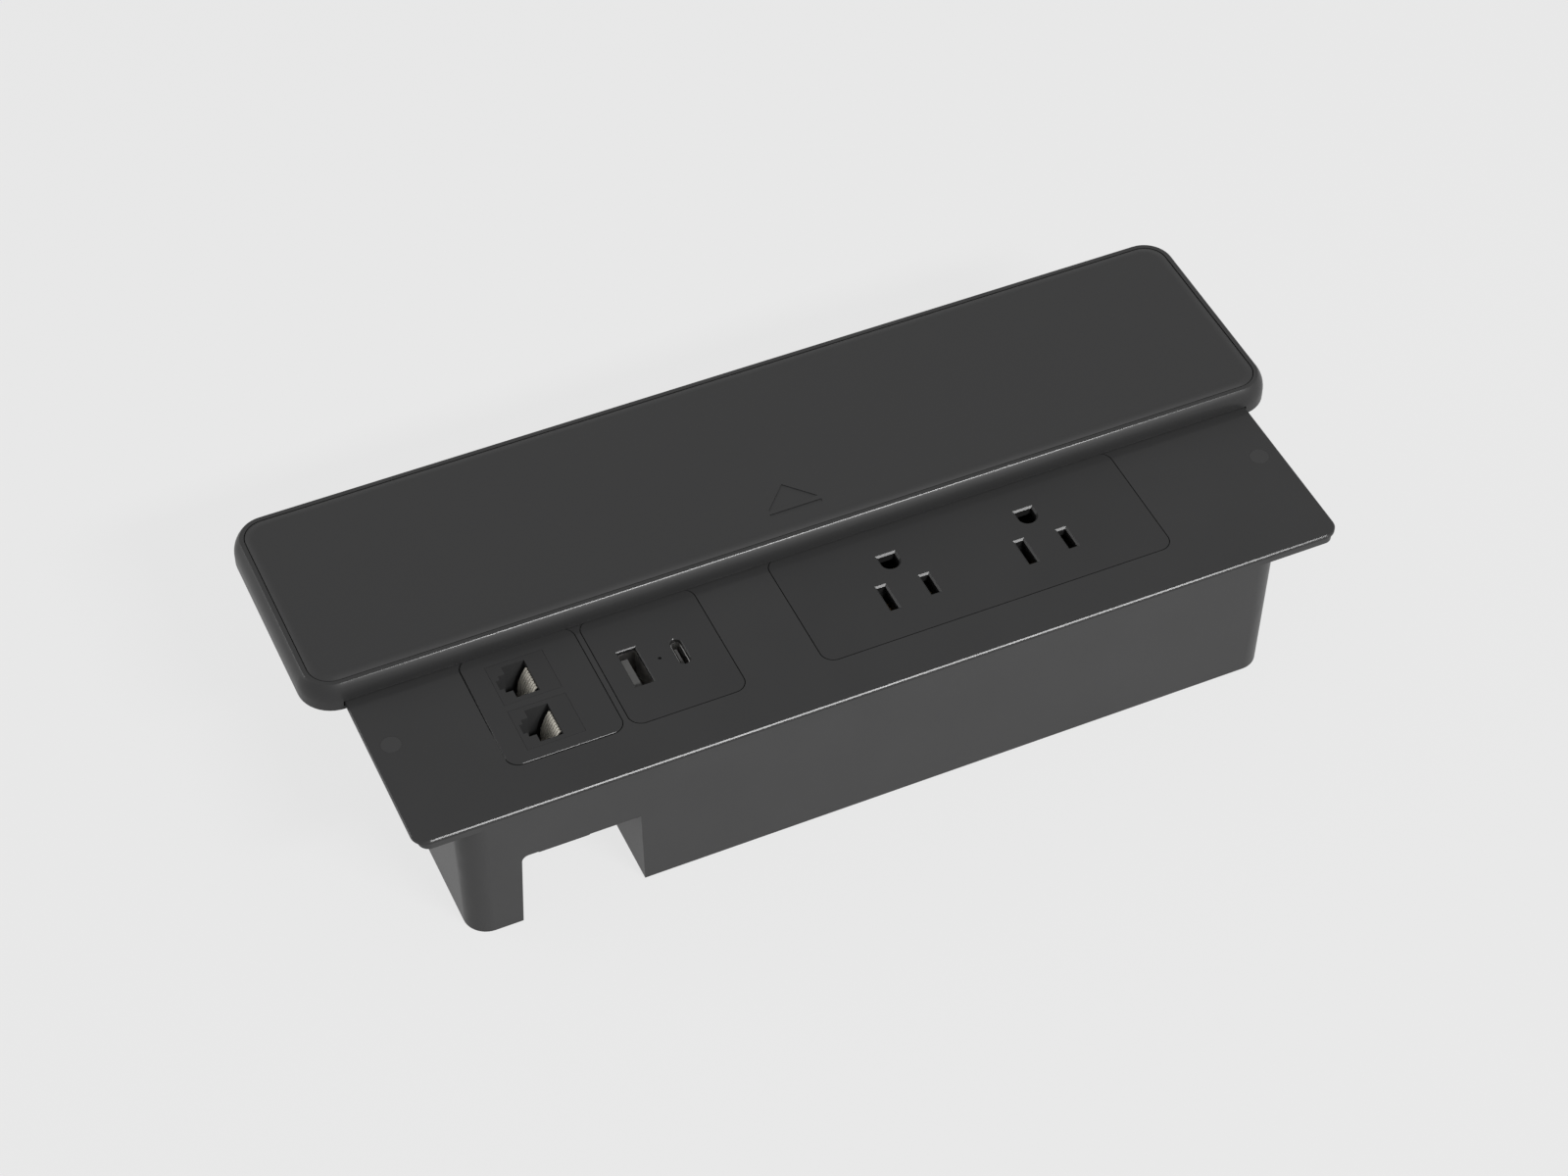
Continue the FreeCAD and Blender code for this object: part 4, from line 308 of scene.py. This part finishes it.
def laminate(name):
    """Green board with paler tracks under its lacquer."""
    material, nodes, links, shader = new_material(name)
    place = nodes.new("ShaderNodeTexCoord")
    tracks = nodes.new("ShaderNodeTexVoronoi")
    tracks.distance = "MANHATTAN"
    tracks.inputs["Scale"].default_value = TRACKS_PER_METRE
    ramp = nodes.new("ShaderNodeValToRGB")
    stops = ((LAMINATE_ENDS, LAMINATE_GREEN), (TRACKS_BEGIN, TRACK_GREEN))
    for element, (position, colour) in zip(ramp.color_ramp.elements, stops):
        element.position = position
        element.color = opaque(colour)
    links.new(place.outputs["Object"], tracks.inputs["Vector"])
    links.new(tracks.outputs["Distance"], ramp.inputs["Fac"])
    links.new(ramp.outputs["Color"], shader.inputs["Base Color"])
    weave = noise(nodes, links, WEAVE_SIZE, detail=1.0)
    links.new(spread(nodes, links, weave, *WEAVE_ROUGHNESS), shader.inputs["Roughness"])
    grain(nodes, links, shader, tracks.outputs["Distance"], TRACK_DEPTH)
    return material


def make_finishes():
    """One finish for each material slot of the record."""
    finishes = {slot: moulded(slot, **looks) for slot, looks in PLASTICS.items()}
    finishes["board_laminate"] = laminate("board_laminate")
    finishes.update({slot: plated(slot, **looks) for slot, looks in METALS.items()})
    return finishes


def even_shading():
    """Nodes that shade facets as one curved face and keep each edge sharper than EDGE_ANGLE_DEG."""
    group = bpy.data.node_groups.new("even_shading", "GeometryNodeTree")
    for direction in ("INPUT", "OUTPUT"):
        group.interface.new_socket("Geometry", in_out=direction, socket_type="NodeSocketGeometry")
    nodes = group.nodes
    links = group.links
    start = nodes.new("NodeGroupInput")
    end = nodes.new("NodeGroupOutput")
    weld = nodes.new("GeometryNodeMergeByDistance")
    weld.inputs["Distance"].default_value = WELD_DISTANCE
    old_normals = nodes.new("GeometryNodeRemoveAttribute")
    old_normals.inputs["Name"].default_value = "custom_normal"
    faces = nodes.new("GeometryNodeSetShadeSmooth")
    faces.domain = "FACE"
    angle = nodes.new("GeometryNodeInputMeshEdgeAngle")
    flat_enough = nodes.new("FunctionNodeCompare")
    flat_enough.operation = "LESS_THAN"
    flat_enough.inputs["B"].default_value = math.radians(EDGE_ANGLE_DEG)
    edges = nodes.new("GeometryNodeSetShadeSmooth")
    edges.domain = "EDGE"
    chain = (start, weld, old_normals, faces, edges, end)
    for earlier, later in zip(chain, chain[1:]):
        links.new(earlier.outputs["Geometry"], later.inputs["Geometry"])
    links.new(angle.outputs["Unsigned Angle"], flat_enough.inputs["A"])
    links.new(flat_enough.outputs["Result"], edges.inputs["Shade Smooth"])
    return group


def dress_nodes(finishes):
    """Gives each node the finish of its slot in the record, and even shading over its facets."""
    slots = {row["node"]: row["material_slot"] for row in frame["record"]["subparts"]}
    shading = even_shading()
    for name, node in frame["nodes"].items():
        node.data.materials.clear()
        node.data.materials.append(finishes[slots[name]])
        node.modifiers.new("even_shading", "NODES").node_group = shading
        if name not in UNWEIGHTED_NODES:
            weights = node.modifiers.new("face_weights", "WEIGHTED_NORMAL")
            weights.keep_sharp = True


def background_factor(nodes, links):
    """One for camera, glossy and transmission rays, which see the background's plain level."""
    path = nodes.new("ShaderNodeLightPath")
    seen = path.outputs["Is Camera Ray"]
    for ray in ("Is Glossy Ray", "Is Transmission Ray"):
        either = nodes.new("ShaderNodeMath")
        either.operation = "MAXIMUM"
        links.new(seen, either.inputs[0])
        links.new(path.outputs[ray], either.inputs[1])
        seen = either.outputs["Value"]
    return seen


def make_floor():
    """A pale floor just under the housing that keeps a faint shadow."""
    floor_place = (centre.x, centre.y, lowest.z - FLOOR_GAP)
    bpy.ops.mesh.primitive_plane_add(size=FLOOR_WIDTH, location=floor_place)
    floor = bpy.context.object
    floor.name = "floor"
    material, nodes, links, shader = new_material("floor_paint")
    nodes.remove(shader)
    diffuse = nodes.new("ShaderNodeBsdfDiffuse")
    diffuse.inputs["Color"].default_value = grey(FLOOR_DIFFUSE)
    glow = nodes.new("ShaderNodeEmission")
    glow.inputs["Color"].default_value = grey(BACKDROP_LEVEL)
    share = nodes.new("ShaderNodeMath")
    share.operation = "MULTIPLY"
    share.inputs[1].default_value = 1.0 - FLOOR_SHADOW_SHARE
    links.new(background_factor(nodes, links), share.inputs[0])
    mix = nodes.new("ShaderNodeMixShader")
    links.new(share.outputs["Value"], mix.inputs["Fac"])
    links.new(diffuse.outputs["BSDF"], mix.inputs[1])
    links.new(glow.outputs["Emission"], mix.inputs[2])
    links.new(mix.outputs["Shader"], nodes["Material Output"].inputs["Surface"])
    floor.data.materials.append(material)


def make_world():
    """Even light from all round, with the background's level where the camera and gloss see it."""
    world = bpy.data.worlds.new("studio")
    world.use_nodes = True
    nodes = world.node_tree.nodes
    links = world.node_tree.links
    background = nodes["Background"]
    mix = nodes.new("ShaderNodeMix")
    mix.data_type = "RGBA"
    mix.inputs["A"].default_value = grey(AMBIENT_LEVEL)
    mix.inputs["B"].default_value = grey(BACKDROP_LEVEL)
    links.new(background_factor(nodes, links), mix.inputs["Factor"])
    links.new(mix.outputs["Result"], background.inputs["Color"])
    bpy.context.scene.world = world


def add_lamp(name, direction, size, power, roll_deg=0.0):
    """An area lamp that points at the middle of the object, rolled about its axis if asked."""
    data = bpy.data.lights.new(name, "AREA")
    data.shape = "RECTANGLE"
    data.size, data.size_y = size
    data.energy = power
    lamp = bpy.data.objects.new(name, data)
    lamp.location = centre + direction.normalized() * LAMP_DISTANCE
    lamp.visible_camera = False
    roll = Quaternion((0, 0, 1), math.radians(roll_deg))
    lamp.rotation_euler = (direction.to_track_quat("Z", "Y") @ roll).to_euler()
    bpy.context.scene.collection.objects.link(lamp)


def make_camera():
    """The camera at the photograph's view."""
    data = bpy.data.cameras.new("camera")
    data.lens = CAMERA_LENS_MM
    data.sensor_width = CAMERA_SENSOR_MM
    camera = bpy.data.objects.new("camera", data)
    camera.location = CAMERA_PLACE
    camera.rotation_euler = [math.radians(angle) for angle in CAMERA_TURN_DEG]
    bpy.context.scene.collection.objects.link(camera)
    bpy.context.scene.camera = camera


make_camera()
make_floor()
make_world()
add_lamp("key", KEY_DIRECTION, KEY_SIZE, KEY_POWER, KEY_ROLL_DEG)
add_lamp("fill", FILL_DIRECTION, FILL_SIZE, FILL_POWER)
bpy.context.scene.view_settings.view_transform = "Standard"
dress_nodes(make_finishes())
